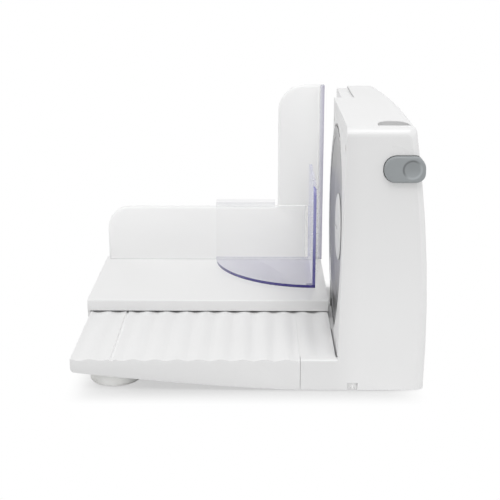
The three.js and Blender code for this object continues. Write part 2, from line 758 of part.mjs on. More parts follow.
function toothedOutline(teeth, pitchRadius, module, pressure, addendum, dedendum, play) {
  const [tipRelief, rootFill] = [1.05, 0.75];
  const half = Math.PI * module / 4 - play;
  const [tip, root] = [pitchRadius + addendum, pitchRadius - dedendum];
  const tipSpread = (half - addendum * Math.tan(pressure) * tipRelief) / tip;
  const rootSpread = (half + dedendum * Math.tan(pressure) * rootFill) / root;
  const points = [];
  for (let i = 0; i < teeth; i += 1) {
    const angle = 2 * Math.PI * (i + 0.5) / teeth;
    points.push(gearTooth(angle, -rootSpread, root), gearTooth(angle, -tipSpread, tip),
      gearTooth(angle, tipSpread, tip), gearTooth(angle, rootSpread, root));
  }
  return points;
}

const wormPressure = THREE.MathUtils.degToRad(20);
const wormDedendum = 1.15 * gearModule;
function driveGear() {
  const lean = gearModule / (2 * wormPitchRadius) / gearRadius;
  const ring = toothedOutline(gearTeeth, gearRadius, gearModule, wormPressure, 0.9 * gearModule, wormDedendum,
    backlash);
  const ends = [-gearWidth / 2, gearWidth / 2].map((x) => ring.map((p) => {
    const turned = p.clone().rotateAround(new THREE.Vector2(), lean * x);
    return new THREE.Vector3(x, turned.y, -turned.x);
  }));
  const rim = gearRadius - wormDedendum - gearRim;
  const hub = spindleRadius + gearHubWall;
  const pockets = [
    sleeve('x', hub, rim, -gearWidth, -gearWeb / 2, 20), sleeve('x', hub, rim, gearWeb / 2, gearWidth, 20),
  ];
  return cut(solid(loft(ends, (p) => new THREE.Vector2(p.y, p.z))), ...pockets,
    rod('x', spindleRadius + gap, -gearWidth, gearWidth));
}

// The motor's shaft with the worm's single thread wound on it.
const shaftFront = motorFront - 5;
const shaftBack = wormRibY + wormRibThickness + 2;
function wormShaft() {
  const lead = Math.PI * gearModule;
  const threadSink = 0.6;
  const [root, tip] = [wormPitchRadius - wormDedendum, wormPitchRadius + 0.85 * gearModule];
  const half = lead / 4 - backlash;
  const halfRoot = half + (wormPitchRadius - root + threadSink) * Math.tan(wormPressure);
  const halfTip = half - (tip - wormPitchRadius) * Math.tan(wormPressure);
  const stepsPerTurn = 11;
  const turns = (wormLength - 4 * gearModule) / lead;
  const steps = Math.round(turns * stepsPerTurn);
  const sections = [];
  for (let i = 0; i <= steps; i += 1) {
    const turn = (i - steps / 2) * 2 * Math.PI / stepsPerTurn;
    const y = bladeY + lead * turn / (2 * Math.PI);
    const at = (radius, shift) =>
      new THREE.Vector3(radius * Math.sin(turn), y + shift, radius * Math.cos(turn));
    sections.push([
      at(root - threadSink, -halfRoot), at(tip, -halfTip), at(tip, halfTip), at(root - threadSink, halfRoot),
    ]);
  }
  const thread = loft(sections, (p) => new THREE.Vector2(p.y, Math.hypot(p.x, p.z)));
  const [front, back] = [bladeY - wormLength / 2, bladeY + wormLength / 2];
  const shaft = revolve('y', [
    [0, shaftFront], [shaftRadius, shaftFront], [shaftRadius, front], [root, front + 1], [root, back - 1],
    [shaftRadius, back], [shaftRadius, shaftBack], [0, shaftBack],
  ], 16);
  return join(shaft, thread);
}

// The motor: a can with rounded shoulders and a nose at each end, bored for the shaft.
function motorCan() {
  const bore = shaftRadius + gap;
  const [front, back] = [motorFront, motorFront + motorLength];
  const [first, last] = [front + noseLength, back - noseLength];
  const rim = motorRadius - motorShoulder;
  return revolve('y', [
    [bore, front], [motorNose, front], [motorNose, first], [rim, first], [motorRadius, first + motorShoulder],
    [motorRadius, last - motorShoulder], [rim, last], [motorNose, last], [motorNose, back], [bore, back],
    [bore, front],
  ], 18);
}

// The strap that holds the motor in its saddles: a half ring with a lug on each saddle rib.
function motorStrap(y) {
  const [inner, outer] = [motorRadius + gap, motorRadius + gap + strapThickness];
  const [front, back] = [y - strapWidth / 2, y + strapWidth / 2];
  const ring = solid(sleeve('y', inner, outer, front, back, 20));
  const [near, far] = [inner + gap, motorRadius + strapLug];
  const [face, top] = [gap, gap + strapThickness];
  const lugs = [block(face, top, front, back, near, far), block(face, top, front, back, -far, -near)];
  const rest = cut(ring, block(-outer - 1, gap, front - 1, back + 1, -outer - 1, outer + 1));
  return lugs.reduce((all, lug) => all.add(solid(lug)), rest);
}

// The blade: a thin dished disc with a ground edge and rounded scallops round its rim.
function bladeDisc() {
  const scallop = new THREE.Shape();
  const steps = 3 * toothCount;
  for (let i = 0; i < steps; i += 1) {
    const angle = 2 * Math.PI * i / steps;
    const radius = bladeRadius - toothDepth * Math.abs(Math.sin(angle * toothCount / 2));
    if (i === 0) scallop.moveTo(radius, 0);
    else scallop.lineTo(radius * Math.cos(angle), radius * Math.sin(angle));
  }
  const ground = bladeRadius - grindWidth;
  const bore = new THREE.Path();
  bore.absarc(0, 0, ground - toothDepth, 0, 2 * Math.PI, true);
  scallop.holes.push(bore);
  const edge = alongX(scallop, 0, bladeThickness / 2, 0, 20);
  const [hub, flat, rim] = [spindleRadius + gap, ground - dishSlope, bladeRadius - 2 * toothDepth];
  const face = bladeThickness / 8;
  const disc = revolve('x', [
    [hub, bladeDish], [flat, bladeDish], [ground, face], [rim, face], [rim, bladeThickness / 2],
    [ground, bladeThickness], [flat, bladeDish + bladeThickness], [hub, bladeDish + bladeThickness],
    [hub, bladeDish],
  ], 40);
  return join(edge, disc);
}

// The spindle with the blade's round carrier, and the cap that holds the blade on it.
const carrierFront = bladeDish + bladeThickness + gap;
const spindleEnd = gearX + gearWidth / 2 + collarWidth + bushWall;
function bladeSpindle() {
  const carrierBack = carrierFront + carrierThickness;
  const nose = bladeDish + gap;
  return revolve('x', [
    [0, nose], [spindleRadius, nose], [spindleRadius, carrierFront], [carrierRadius, carrierFront],
    [carrierRadius, carrierBack - 1], [carrierRadius - 1, carrierBack], [spindleRadius, carrierBack],
    [spindleRadius, spindleEnd - 1], [spindleRadius - 1, spindleEnd], [0, spindleEnd],
  ], 16);
}

function bladeCap() {
  const seat = bladeDish - gap;
  const front = seat - capHeight;
  const dome = revolve('x', [
    [0, front], [0.55 * capRadius, front], [0.9 * capRadius, seat - 0.64 * capHeight],
    [capRadius, seat - 0.23 * capHeight], [capRadius, seat], [0, seat],
  ], 32);
  const slotHalf = 0.4 * capRadius;
  const slot = block(front - 1, front + 0.4 * capHeight, -slotHalf, slotHalf, -screwRadius, screwRadius);
  return cut(solid(dome), slot);
}

// The stop plate: its near edge follows the blade's rim, and a rim along its top slides in under the
// housing's skin.
function stopPlate() {
  const rim = bladeRadius + stopBladeGap;
  const turn = Math.acos((stopNear - bladeY) / rim);
  const shape = new THREE.Shape();
  shape.moveTo(stopNear, stopFoot);
  shape.lineTo(stopFar, stopFoot);
  shape.lineTo(stopFar, stopTop - stopCorner);
  shape.absarc(stopFar - stopCorner, stopTop - stopCorner, stopCorner, 0, Math.PI / 2, false);
  shape.lineTo(stopNear, stopTop);
  shape.absarc(bladeY, bladeZ, rim, turn, -turn, true);
  const topRim = block(0, stopRimDepth, stopNear, stopFar - stopCorner, stopTop - stopRimWall, stopTop);
  const sockets = rods.map(([, z]) =>
    rod('x', rodRadius + gap, stopThickness - rodSocket, stopThickness + 1).translate(0, rodY, z));
  const rackRoom = block(stopThickness - rackSocket, stopThickness + 1, rodY - pinionWidth / 2 - gap,
    rodY + pinionWidth / 2 + gap, rackFoot - gap, rackHead + gap);
  return cut(join(alongX(shape, 0, stopThickness, 0, 12), topRim), ...sockets, rackRoom);
}

// The rack stands in the stop plate's back and runs under the dial's pinion.
const rackPressure = THREE.MathUtils.degToRad(25);
const [rackAddendum, rackDedendum] = [0.8 * rackModule, 1.1 * rackModule];
function stopRack() {
  const pitch = Math.PI * rackModule;
  const slope = Math.tan(rackPressure);
  const half = pitch / 4 - rackPlay;
  const [wide, narrow] = [half + rackDedendum * slope, half - rackAddendum * slope];
  const root = dialZ - pinionRadius - rackDedendum;
  const [start, end] = [stopThickness - rackSocket + gap, pinionX + pitch];
  const origin = pinionX - sliceSetting;
  const shape = new THREE.Shape();
  shape.moveTo(start, rackFoot);
  shape.lineTo(end, rackFoot);
  shape.lineTo(end, root);
  const [first, last] = [(stopThickness + pitch - origin) / pitch, (end - origin) / pitch - 0.5];
  for (let i = Math.floor(last); i > first; i -= 1) {
    const x = origin + i * pitch;
    shape.lineTo(x + wide, root);
    shape.lineTo(x + narrow, rackHead);
    shape.lineTo(x - narrow, rackHead);
    shape.lineTo(x - wide, root);
  }
  shape.lineTo(start, root);
  return alongY(shape, rodY - pinionWidth / 2, rodY + pinionWidth / 2);
}

// The dial's shaft ends in the pinion, and the fluted dial sits on its outer end.
const dialBack = housingDepth + gap + 1;
const dialFront = dialBack + dialHeight;
const shaftSeat = dialFront - noseLength;
function pinionShaft() {
  const ring = toothedOutline(pinionTeeth, pinionRadius, rackModule, rackPressure, rackAddendum, rackDedendum,
    rackPlay);
  const shape = new THREE.Shape(ring.map((p) => p.clone().rotateAround(new THREE.Vector2(), -Math.PI / 2)));
  const pinion = alongY(shape, rodY - pinionWidth / 2, rodY + pinionWidth / 2);
  return join(pinion, rod('y', shaftRadius, rodY - pinionWidth / 2 - 2, shaftSeat, 20));
}

function thicknessDial() {
  const shape = new THREE.Shape();
  const steps = 3 * dialFlutes;
  for (let i = 0; i < steps; i += 1) {
    const angle = 2 * Math.PI * i / steps;
    const radius = dialRadius - fluteDepth * (1 - Math.cos(dialFlutes * angle)) / 2;
    if (i === 0) shape.moveTo(radius, 0);
    else shape.lineTo(radius * Math.cos(angle), radius * Math.sin(angle));
  }
  const knob = solid(alongY(shape, dialBack + dialSkirt, dialFront, fluteDepth));
  const skirt = rod('y', dialRadius + 2, dialBack, dialBack + dialSkirt + 0.5, 28);
  const pointer = block(-1, 1, dialFront - 2, dialFront + 0.8, 0.3 * dialRadius, dialRadius - 2 * fluteDepth);
  const bore = rod('y', shaftRadius + gap, dialBack - 1, shaftSeat + gap, 20);
  return cut(knob.add(solid(skirt)).add(solid(pointer)), bore);
}

// The switch's button: a flat-sided bar with a round dimple and a stem to the switch behind it.
function switchButton() {
  const [front, back] = [-switchProud, switchDepth - switchProud];
  const body = solid(alongY(switchOutline(0), front, back, 1.5, 4));
  const sphere = (dimpleRadius ** 2 + dimpleDepth ** 2) / (2 * dimpleDepth);
  const arc = Math.asin(dimpleRadius / sphere);
  const bowl = [[0, front - 2], [dimpleRadius, front - 2]];
  for (let i = 0; i <= 4; i += 1) {
    const turn = arc * (1 - i / 4);
    bowl.push([sphere * Math.sin(turn), front + dimpleDepth - sphere * (1 - Math.cos(turn))]);
  }
  const dimple = revolve('y', bowl, 20).translate(dimpleX, 0, stemZ);
  const stem = rod('y', stemRadius, back - 1, stemEnd, 12).translate(stemX, 0, stemZ);
  return cut(body, dimple).add(solid(stem));
}

const stemEnd = wellBack + wall + stemReach;
function microSwitch() {
  const front = stemEnd + switchTravel + gap;
  const [half, tall] = [microWidth / 2, microHeight / 2];
  return block(stemX - half, stemX + half, front, front + microDepth, stemZ - tall, stemZ + tall);
}

// The carriage's table, in the carriage's own frame: y from the table's front edge, z from the tray's top.
const tableRight = blockRight;
const tableLeft = trayLeft - slideGap - flangeThickness;
const tableBack = tableDepth + wallDepth;
const wallFoot = tableTop + gap;
const wallMiddle = tableDepth + wallDepth / 2;
const tableUnder = tableTop - tableThickness;
function carriageTable() {
  let body = solid(alongX(outline([
    [0, tableLift], [tableBack, tableLift], [tableBack, tableTop], [0, tableTop, tableRound],
  ]), tableLeft, tableRight));
  const inside = block(tableLeft + flangeThickness, tableRight - wall, wall, tableBack - wall, -1,
    tableUnder);
  body = cut(body, inside);
  const flange = block(tableLeft, tableLeft + flangeThickness, tableRound, tableBack, -flangeDrop,
    tableLift + 1);
  const glides = [0.25, 0.5, 0.75, 0.96].map((share) => {
    const x = tableLeft + (tableRight - tableLeft) * share;
    return block(x - glideWidth / 2, x + glideWidth / 2, wall / 2, tableBack - wall / 2, slideGap,
      tableUnder + 1);
  });
  body = [flange, ...glides].reduce((all, rib) => all.add(solid(rib)), body);
  const holes = wallScrews.flatMap(([, x]) => [
    rod('z', screwRadius + gap, tableUnder - 1, tableTop + 1, 8).translate(x, wallMiddle, 0),
    rod('z', headShare * screwRadius + gap, -1, tableUnder, 8).translate(x, wallMiddle, 0),
  ]);
  const runnerPegs = runnerPegY.map((y) =>
    rod('z', pegRadius + gap, tableUnder - 1, tableTop - 1, 8).translate(grooveX, y, 0));
  return cut(body, ...holes, ...runnerPegs);
}

// The runner under the table that follows the tray's groove.
const runnerPegY = [tableBack / 2 - runnerLength / 3, tableBack / 2 + runnerLength / 3];
function guideRunner() {
  const top = tableUnder - gap;
  const half = grooveWidth / 2 - slideGap;
  const [front, back] = [(tableBack - runnerLength) / 2, (tableBack + runnerLength) / 2];
  const fin = block(grooveX - half, grooveX + half, front, back, slideGap - grooveDepth, 3 * slideGap);
  const bar = block(grooveX - runnerWidth / 2, grooveX + runnerWidth / 2, front, back, 2 * slideGap, top);
  const pegs = runnerPegY.map((y) =>
    rod('z', pegRadius, top - 1, tableTop - 1 - gap, 8).translate(grooveX, y, 0));
  return join(fin, bar, ...pegs);
}

// The back wall: low along the table, tall beside the blade, with a hollow back.
const wallLeft = trayLeft;
const wallRight = tableRight - clearThickness + slideGap;
function wallOutline(inset) {
  const guardLeft = wallRight - guardWidth;
  return outline([
    [wallLeft + inset, wallFoot + inset],
    [wallRight - inset, wallFoot + inset],
    [wallRight - inset, tableTop + guardHeight - inset],
    [guardLeft + inset, tableTop + guardHeight - inset, guardCorner - inset],
    [guardLeft + inset, tableTop + lowWallHeight - inset, guardFillet + inset],
    [wallLeft + inset, tableTop + lowWallHeight - inset, lowWallCorner - inset],
  ]);
}

const wallScrews = [['left', trayLeft + trayWidth * 0.2], ['right', trayLeft + trayWidth * 0.8]];
const pegHeights = [lowWallHeight * 0.6, guardHeight * 0.85];
function backWall() {
  let body = solid(alongY(wallOutline(0), tableDepth, tableBack, wallRound, 3));
  body = cut(body, alongY(wallOutline(wall), tableDepth + wall, tableBack + 1, 0, 3));
  const posts = wallScrews.map(([, x]) =>
    rod('z', postRadius, wallFoot + 1, wallFoot + postLength, 12).translate(x, wallMiddle, 0));
  const ribs = [0.35, 0.65].map((share) => {
    const x = wallLeft + (wallRight - wallLeft) * share;
    return block(x - wall / 2, x + wall / 2, tableDepth + 1, tableBack - 2, wallFoot + 1,
      tableTop + lowWallHeight - 1);
  });
  body = [...posts, ...ribs].reduce((all, rib) => all.add(solid(rib)), body);
  const pilots = wallScrews.map(([, x]) =>
    rod('z', screwRadius + gap, wallFoot - 1, wallFoot + screwLength, 8).translate(x, wallMiddle, 0));
  const pegHoles = pegHeights.map((z) =>
    rod('x', pegRadius + gap, wallRight - wall - 1, wallRight + 1, 12)
      .translate(0, wallMiddle, tableTop + z));
  return cut(body, ...pilots, ...pegHoles);
}

// The clear thumb guard: a flat sheet on the tall guard's blade-side edge, held by two pegs.
function thumbGuard() {
  const [left, right] = [wallRight + gap, wallRight + gap + clearThickness];
  const [back, top] = [tableDepth + clearDepth, tableTop + guardHeight];
  const sheet = alongX(outline([
    [tableDepth, wallFoot], [back, wallFoot, clearCorner / 3], [back, top, clearCorner], [tableDepth, top],
  ]), left, right);
  const pegs = pegHeights.map((z) =>
    rod('x', pegRadius, wallRight - wall - 1, left + 1, 12).translate(0, wallMiddle, tableTop + z));
  return join(sheet, ...pegs);
}

// The food pusher, in the carriage's frame: a quarter-round floor, a back with a hook over the low wall
// and an end plate with rows of short spikes towards the blade.
const pusherRight = faceSetback - pusherFromBlade;
function foodPusher() {
  const [floor, face] = [tableTop + gap, tableDepth - gap];
  const [left, near] = [pusherRight - pusherRadius, face - pusherSheet];
  const quarter = new THREE.Shape();
  quarter.moveTo(pusherRight, face);
  quarter.lineTo(left, face);
  quarter.absarc(pusherRight, face, pusherRadius, Math.PI, 1.5 * Math.PI, false);
  const base = alongZ(quarter, floor, floor + pusherSheet, 0, 12);
  const back = block(left, pusherRight, near, face, floor, tableTop + pusherBackHeight);
  const wallTop = tableTop + lowWallHeight;
  const [hookFloor, hookTop] = [wallTop + hookRise, wallTop + hookRise + pusherSheet];
  const [hookInner, hookBack] = [tableBack + gap, tableBack + gap + pusherSheet];
  const hook = alongX(outline([
    [near, wallTop - hookDrop], [face, wallTop - hookDrop], [face, hookFloor], [hookInner, hookFloor],
    [hookInner, hookFloor - hookDrop], [hookBack, hookFloor - hookDrop], [hookBack, hookTop, hookRound],
    [near, hookTop, hookRound],
  ]), left, left + hookWidth);
  const end = alongX(outline([
    [face - pusherRadius, floor], [face, floor], [face, tableTop + pusherHeight],
    [face - pusherRadius, tableTop + pusherHeight, pusherCorner],
  ]), pusherRight - pusherSheet, pusherRight);
  const spikes = [];
  for (let row = 0; row < spikeRows; row += 1) {
    for (let column = 0; column < spikeColumns; column += 1) {
      const y = face - pusherRadius * (column + 0.7) / (spikeColumns + 0.4);
      const z = floor + pusherHeight * (row + 0.7) / (spikeRows + 0.4);
      const [tip, root] = [pusherRight + spikeHeight, pusherRight - 0.5];
      const spike = revolve('x', [[0, root], [spikeRadius, root], [0, tip]], 4);
      spikes.push(spike.translate(0, y, z));
    }
  }
  return join(base, back, hook, end, ...spikes);
}

// The assembly. Each moving part is a group at the place that it turns about or slides from.
const slicer = new THREE.Group();
const reachLeft = tableLeft;
const reachRight = bellyWidth - sideTaper(edgeRound);
const reachFront = -switchProud;
const reachBack = tableFront + tableDepth + clearDepth;
slicer.position.set(-(reachLeft + reachRight) / 2, -(reachFront + reachBack) / 2, 0);

const body = new THREE.Group();
slicer.add(body);
piece(body, 'housing_shell', housingShell(), white);
piece(body, 'blade_plate', bladePlate(), white);
piece(body, 'bottom_cover', bottomCover(), pale);
piece(body, 'base_tray', baseTray(), white);
piece(body, 'cord_gland', cordGland(), pale);
piece(body, 'motor_can', motorCan().translate(gearX, 0, wormZ), steel);
saddles.forEach((y, i) => {
  piece(body, `motor_strap_${['front', 'rear'][i]}`, motorStrap(y), steel);
  body.children.at(-1).position.set(gearX, 0, wormZ);
});
piece(body, 'worm_bush',
  sleeve('y', shaftRadius + gap, shaftRadius + bushWall, wormRibY, wormRibY + wormRibThickness)
    .translate(gearX, 0, wormZ), brass);
piece(body, 'spindle_bush',
  sleeve('x', spindleRadius + gap, spindleRadius + spindleBushWall, pocketDepth - gap, bushEnd)
    .translate(0, bladeY, bladeZ), brass);
piece(body, 'micro_switch', microSwitch(), black);
piece(body, 'dial_bush',
  sleeve('y', shaftRadius + gap, shaftRadius + bushWall, housingDepth - dialBushLength, housingDepth + gap)
    .translate(pinionX, 0, dialZ), nylon);
rods.forEach(([level, z]) => {
  piece(body, `guide_bush_${level}`,
    sleeve('x', rodRadius + gap, rodRadius + bushWall, bayDepth + gap, bayDepth + guideBushLength)
      .translate(0, rodY, z), nylon);
});
plateScrews.forEach(([corner, y, z]) => {
  piece(body, `plate_screw_${corner}`,
    screw('x', faceSetback, plateBack + screwLength - 1, plateHeadSink - gap).translate(0, y, z), steel);
});
coverScrews.forEach(([end, x, y]) => {
  piece(body, `cover_screw_${end}`,
    screw('z', gap, coverTop + screwLength - 1, padThickness - gap).translate(x, y, 0), steel);
});
trayScrewPlaces.forEach((y, i) => {
  const head = trayRight - wall - gap - screwHead;
  piece(body, `tray_screw_${['front', 'rear'][i]}`,
    screw('x', head, seamX + screwLength - 1).translate(0, y, trayScrewZ), steel);
});
footPlaces.forEach(([end, y]) => {
  piece(body, `tray_foot_${end}`, trayFoot().translate(grooveX, y, 0), pale);
});
padPlaces.forEach(([end, x, y]) => {
  piece(body, `housing_pad_${end}`, housingPad().translate(x, y, 0), black);
});

const blade = new THREE.Group();
blade.position.set(0, bladeY, bladeZ);
slicer.add(blade);
piece(blade, 'blade', bladeDisc(), steel);
piece(blade, 'blade_cap', bladeCap(), pale);
piece(blade, 'blade_spindle', bladeSpindle(), steel);
piece(blade, 'drive_gear', driveGear(), nylon);
blade.children.at(-1).position.x = gearX;
piece(blade, 'gear_collar',
  sleeve('x', spindleRadius + gap, spindleRadius + bushWall, gearX + gearWidth / 2 + gap,
    gearX + gearWidth / 2 + gap + collarWidth), steel);

const rotor = new THREE.Group();
rotor.position.set(gearX, 0, wormZ);
slicer.add(rotor);
piece(rotor, 'worm_shaft', wormShaft(), steel);

const stop = new THREE.Group();
stop.position.set(sliceSetting, 0, 0);
slicer.add(stop);
piece(stop, 'stop_plate', stopPlate(), white);
piece(stop, 'stop_rack', stopRack(), nylon);
rods.forEach(([level, z]) => {
  const start = stopThickness - rodSocket + gap;
  const guideRod = rod('x', rodRadius, start, start + rodLength).translate(0, rodY, z);
  piece(stop, `guide_rod_${level}`, guideRod, steel);
});

const dial = new THREE.Group();
dial.position.set(pinionX, 0, dialZ);
slicer.add(dial);
piece(dial, 'thickness_dial', thicknessDial(), grey);
piece(dial, 'pinion_shaft', pinionShaft(), nylon);

const button = new THREE.Group();
slicer.add(button);
piece(button, 'switch_button', switchButton(), grey);

const carriage = new THREE.Group();
carriage.position.set(0, tableFront, trayTop);
slicer.add(carriage);
piece(carriage, 'carriage_table', carriageTable(), white);
piece(carriage, 'back_wall', backWall(), white);
piece(carriage, 'thumb_guard', thumbGuard(), clear);
piece(carriage, 'guide_runner', guideRunner(), nylon);
wallScrews.forEach(([end, x]) => {
  const head = tableUnder - gap - screwHead;
  piece(carriage, `wall_screw_${end}`,
    screw('z', head, wallFoot + screwLength - 1).translate(x, wallMiddle, 0), steel);
});

const pusher = new THREE.Group();
carriage.add(pusher);
piece(pusher, 'food_pusher', foodPusher(), clear);

const assembly = new THREE.Group();
assembly.add(slicer);
export default assembly;
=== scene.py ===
import math

import bmesh
import bpy
from mathutils import Matrix, Vector


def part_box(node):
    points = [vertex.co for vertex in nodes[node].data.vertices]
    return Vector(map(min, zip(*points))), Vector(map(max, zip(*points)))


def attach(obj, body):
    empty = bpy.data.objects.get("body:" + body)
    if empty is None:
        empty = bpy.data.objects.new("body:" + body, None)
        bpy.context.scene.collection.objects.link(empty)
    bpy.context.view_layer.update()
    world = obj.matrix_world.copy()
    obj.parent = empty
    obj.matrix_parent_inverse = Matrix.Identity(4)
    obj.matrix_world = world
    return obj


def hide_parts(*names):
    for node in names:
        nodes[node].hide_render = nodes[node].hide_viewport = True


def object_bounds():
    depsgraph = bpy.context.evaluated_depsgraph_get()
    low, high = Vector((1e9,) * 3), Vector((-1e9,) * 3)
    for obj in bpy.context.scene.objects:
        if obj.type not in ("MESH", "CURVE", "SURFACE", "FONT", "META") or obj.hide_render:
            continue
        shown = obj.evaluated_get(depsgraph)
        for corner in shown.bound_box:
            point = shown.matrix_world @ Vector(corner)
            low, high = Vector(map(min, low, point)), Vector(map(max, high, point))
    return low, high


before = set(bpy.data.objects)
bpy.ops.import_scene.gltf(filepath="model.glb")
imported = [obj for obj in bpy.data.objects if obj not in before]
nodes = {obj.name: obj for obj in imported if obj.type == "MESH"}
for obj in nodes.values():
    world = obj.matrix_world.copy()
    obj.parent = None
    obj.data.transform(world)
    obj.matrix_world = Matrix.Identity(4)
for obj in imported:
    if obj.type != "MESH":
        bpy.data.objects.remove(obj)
cad_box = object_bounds()
scene = bpy.context.scene
scene.view_settings.view_transform = "Standard"


# Camera. It stands before the slicer's front end, looks along the blade's plane and a little down on the
# tray, as the photograph does.
degrees_down = 15.835
turn_left = 0.0089
camera = bpy.data.objects.new("camera", bpy.data.cameras.new("camera"))
camera.data.lens = 80.33
camera.data.sensor_width = 36
camera.data.clip_end = 20
camera.location = (0.0117, -1.047, 0.3838)
camera.rotation_euler = (math.radians(90 - degrees_down), 0, turn_left)
scene.collection.objects.link(camera)
scene.camera = camera


# Floor. A smooth white studio sheet with a faint shine. It shows the slicer's real soft shadow, and a painted
# shadow in a soft band round its feet, and runs out into the white of the room.
class Wire:
    """A shader socket that Python sums can use. Each sum adds its Math node."""

    def __init__(self, finish, socket):
        self.finish = finish
        self.socket = socket

    def math(self, operation, first, second=0.0):
        return self.finish.node("Math", {"operation": operation}, {0: first, 1: second})

    def __add__(self, other):
        return self.math("ADD", self, other)

    def __radd__(self, other):
        return self.math("ADD", other, self)

    def __sub__(self, other):
        return self.math("SUBTRACT", self, other)

    def __rsub__(self, other):
        return self.math("SUBTRACT", other, self)

    def __mul__(self, other):
        return self.math("MULTIPLY", self, other)

    def __rmul__(self, other):
        return self.math("MULTIPLY", other, self)

    def __lt__(self, other):
        return self.math("LESS_THAN", self, other)

    def __gt__(self, other):
        return self.math("GREATER_THAN", self, other)

    def __abs__(self):
        return self.math("ABSOLUTE", self)


class Finish:
    """A node material, or the room's node tree, with one way to add a node of any type."""

    def __init__(self, name, tree=None):
        self.material = None
        if tree is None:
            self.material = bpy.data.materials.new(name)
            self.material.use_nodes = True
            tree = self.material.node_tree
        self.tree = tree
        self.tree.nodes.clear()

    def node(self, kind, settings=None, inputs=None, out=0):
        made = self.tree.nodes.new("ShaderNode" + kind)
        for key, value in (settings or {}).items():
            setattr(made, key, value)
        for key, value in (inputs or {}).items():
            if isinstance(value, Wire):
                self.tree.links.new(value.socket, made.inputs[key])
            else:
                made.inputs[key].default_value = value
        return Wire(self, made.outputs[out]) if len(made.outputs) else made

    def outputs(self, kind, *names):
        """Several outputs of one new node."""
        made = self.node(kind).socket.node
        return [Wire(self, made.outputs[name]) for name in names]

    def split(self, vector):
        """The x, y and z of a vector."""
        first = self.node("SeparateXYZ", {}, {0: vector})
        return [Wire(self, socket) for socket in first.socket.node.outputs]

    def distance(self, place, point):
        return self.node("VectorMath", {"operation": "DISTANCE"}, {0: place, 1: point}, "Value")

    def noise(self, place, scale, detail, rough=0.5):
        return self.node("TexNoise", {}, {"Vector": place, "Scale": scale, "Detail": detail, "Roughness": rough})

    def bands(self, value, scale, detail):
        """Noise along one value, such as rings round a middle."""
        return self.node("TexNoise", {"noise_dimensions": "1D"}, {"W": value, "Scale": scale, "Detail": detail})

    def streaks(self, place, scale, detail, turn=0.0, rough=0.5):
        """Noise that is drawn out along the axes with a small scale."""
        drawn = self.node("Mapping", {}, {"Vector": place, "Rotation": (0, 0, turn), "Scale": scale})
        return self.noise(drawn, 1.0, detail, rough)

    def tint(self, share, first, second):
        """A colour between two others."""
        pair = [c if isinstance(c, Wire) else (*c, 1) for c in (first, second)]
        return self.node("Mix", {"data_type": "RGBA"}, {0: share, 6: pair[0], 7: pair[1]}, 2)

    def ease(self, value, start, end):
        """0 before start, 1 past end and a soft step between."""
        return self.node("MapRange", {"interpolation_type": "SMOOTHSTEP"},
                         {"Value": value, "From Min": start, "From Max": end})

    def relief(self, height, strength, depth):
        return self.node("Bump", {}, {"Strength": strength, "Distance": depth, "Height": height})

    def surface(self, shader, kind="OutputMaterial"):
        self.node(kind, {}, {"Surface": shader})
        return self.material

    def skin(self, inputs):
        """The finished material, with one principled surface."""
        return self.surface(self.node("BsdfPrincipled", {}, inputs))


def seen_directly(finish):
    """1 for what the camera sees straight, mirrored or through clear sheet, 0 for light that falls on a thing."""
    straight, mirrored, through = finish.outputs(
        "LightPath", "Is Camera Ray", "Is Glossy Ray", "Is Transmission Ray")
    return finish.node("Clamp", {}, {"Value": straight + mirrored + through})


white = (1, 1, 1, 1)
floor_half = 4.0
shadow_inset, shadow_start, shadow_reach, shadow_round = 0.028, -0.006, 0.03, 0.03
glow_in_shadow, glow_outside = 0.55, 1.0
shine, shine_rough = 0.08, 0.12
low, high = cad_box
corners = ((-1, -1), (1, -1), (1, 1), (-1, 1))
floor_mesh = bpy.data.meshes.new("floor")
floor_mesh.from_pydata([(x * floor_half, y * floor_half, 0) for x, y in corners], [], [(0, 1, 2, 3)])
floor = bpy.data.objects.new("floor", floor_mesh)
scene.collection.objects.link(floor)
sheet = Finish("floor_sheet")
place = sheet.node("NewGeometry", out="Position")
across, along = sheet.split(place)[:2]
past_side = abs(across - (low[0] + high[0]) / 2) - (high[0] - low[0]) / 2 + shadow_inset
past_end = abs(along - (low[1] + high[1]) / 2) - (high[1] - low[1]) / 2
past_edge = sheet.node("Math", {"operation": "SMOOTH_MAX"}, {0: past_side, 1: past_end, 2: shadow_round})
fade = sheet.ease(past_edge, shadow_start, shadow_reach)
straight = seen_directly(sheet)
mottle = sheet.noise(place, scale=14, detail=2)
lit_by = sheet.tint(mottle, (0.92, 0.92, 0.92), (0.95, 0.95, 0.95))
# Painted shadow: the camera sees the sheet at half its lit colour and with less glow in the band round the slicer.
painted_shadow_grey = sheet.tint(mottle, (0.46, 0.46, 0.46), (0.48, 0.48, 0.48))
diffuse = sheet.node("BsdfDiffuse", {}, {"Color": sheet.tint(straight, lit_by, painted_shadow_grey)})
gloss = sheet.node("BsdfGlossy", {}, {"Color": white, "Roughness": shine_rough})
sheen = sheet.node("MixShader", {}, {0: shine, 1: diffuse, 2: gloss})
glow = sheet.node("Emission", {}, {"Color": white, "Strength": 1.0})
glow_share = straight * (glow_in_shadow + (glow_outside - glow_in_shadow) * fade)
floor_mesh.materials.append(sheet.surface(sheet.node("MixShader", {}, {0: glow_share, 1: sheen, 2: glow})))


# Studio light. One wide soft box high before the slicer, a weak one at each side, and white walls all
# round. The level is plain, so a colour looks about as it is written.
seen_level, cast_level = 1.0, 0.5
room = bpy.data.worlds.new("room")
room.use_nodes = True
scene.world = room
walls = Finish("room", room.node_tree)
seen = walls.node("Background", {}, {"Color": white, "Strength": seen_level})
cast = walls.node("Background", {}, {"Color": white, "Strength": cast_level})
walls.surface(walls.node("MixShader", {}, {0: seen_directly(walls), 1: cast, 2: seen}), "OutputWorld")


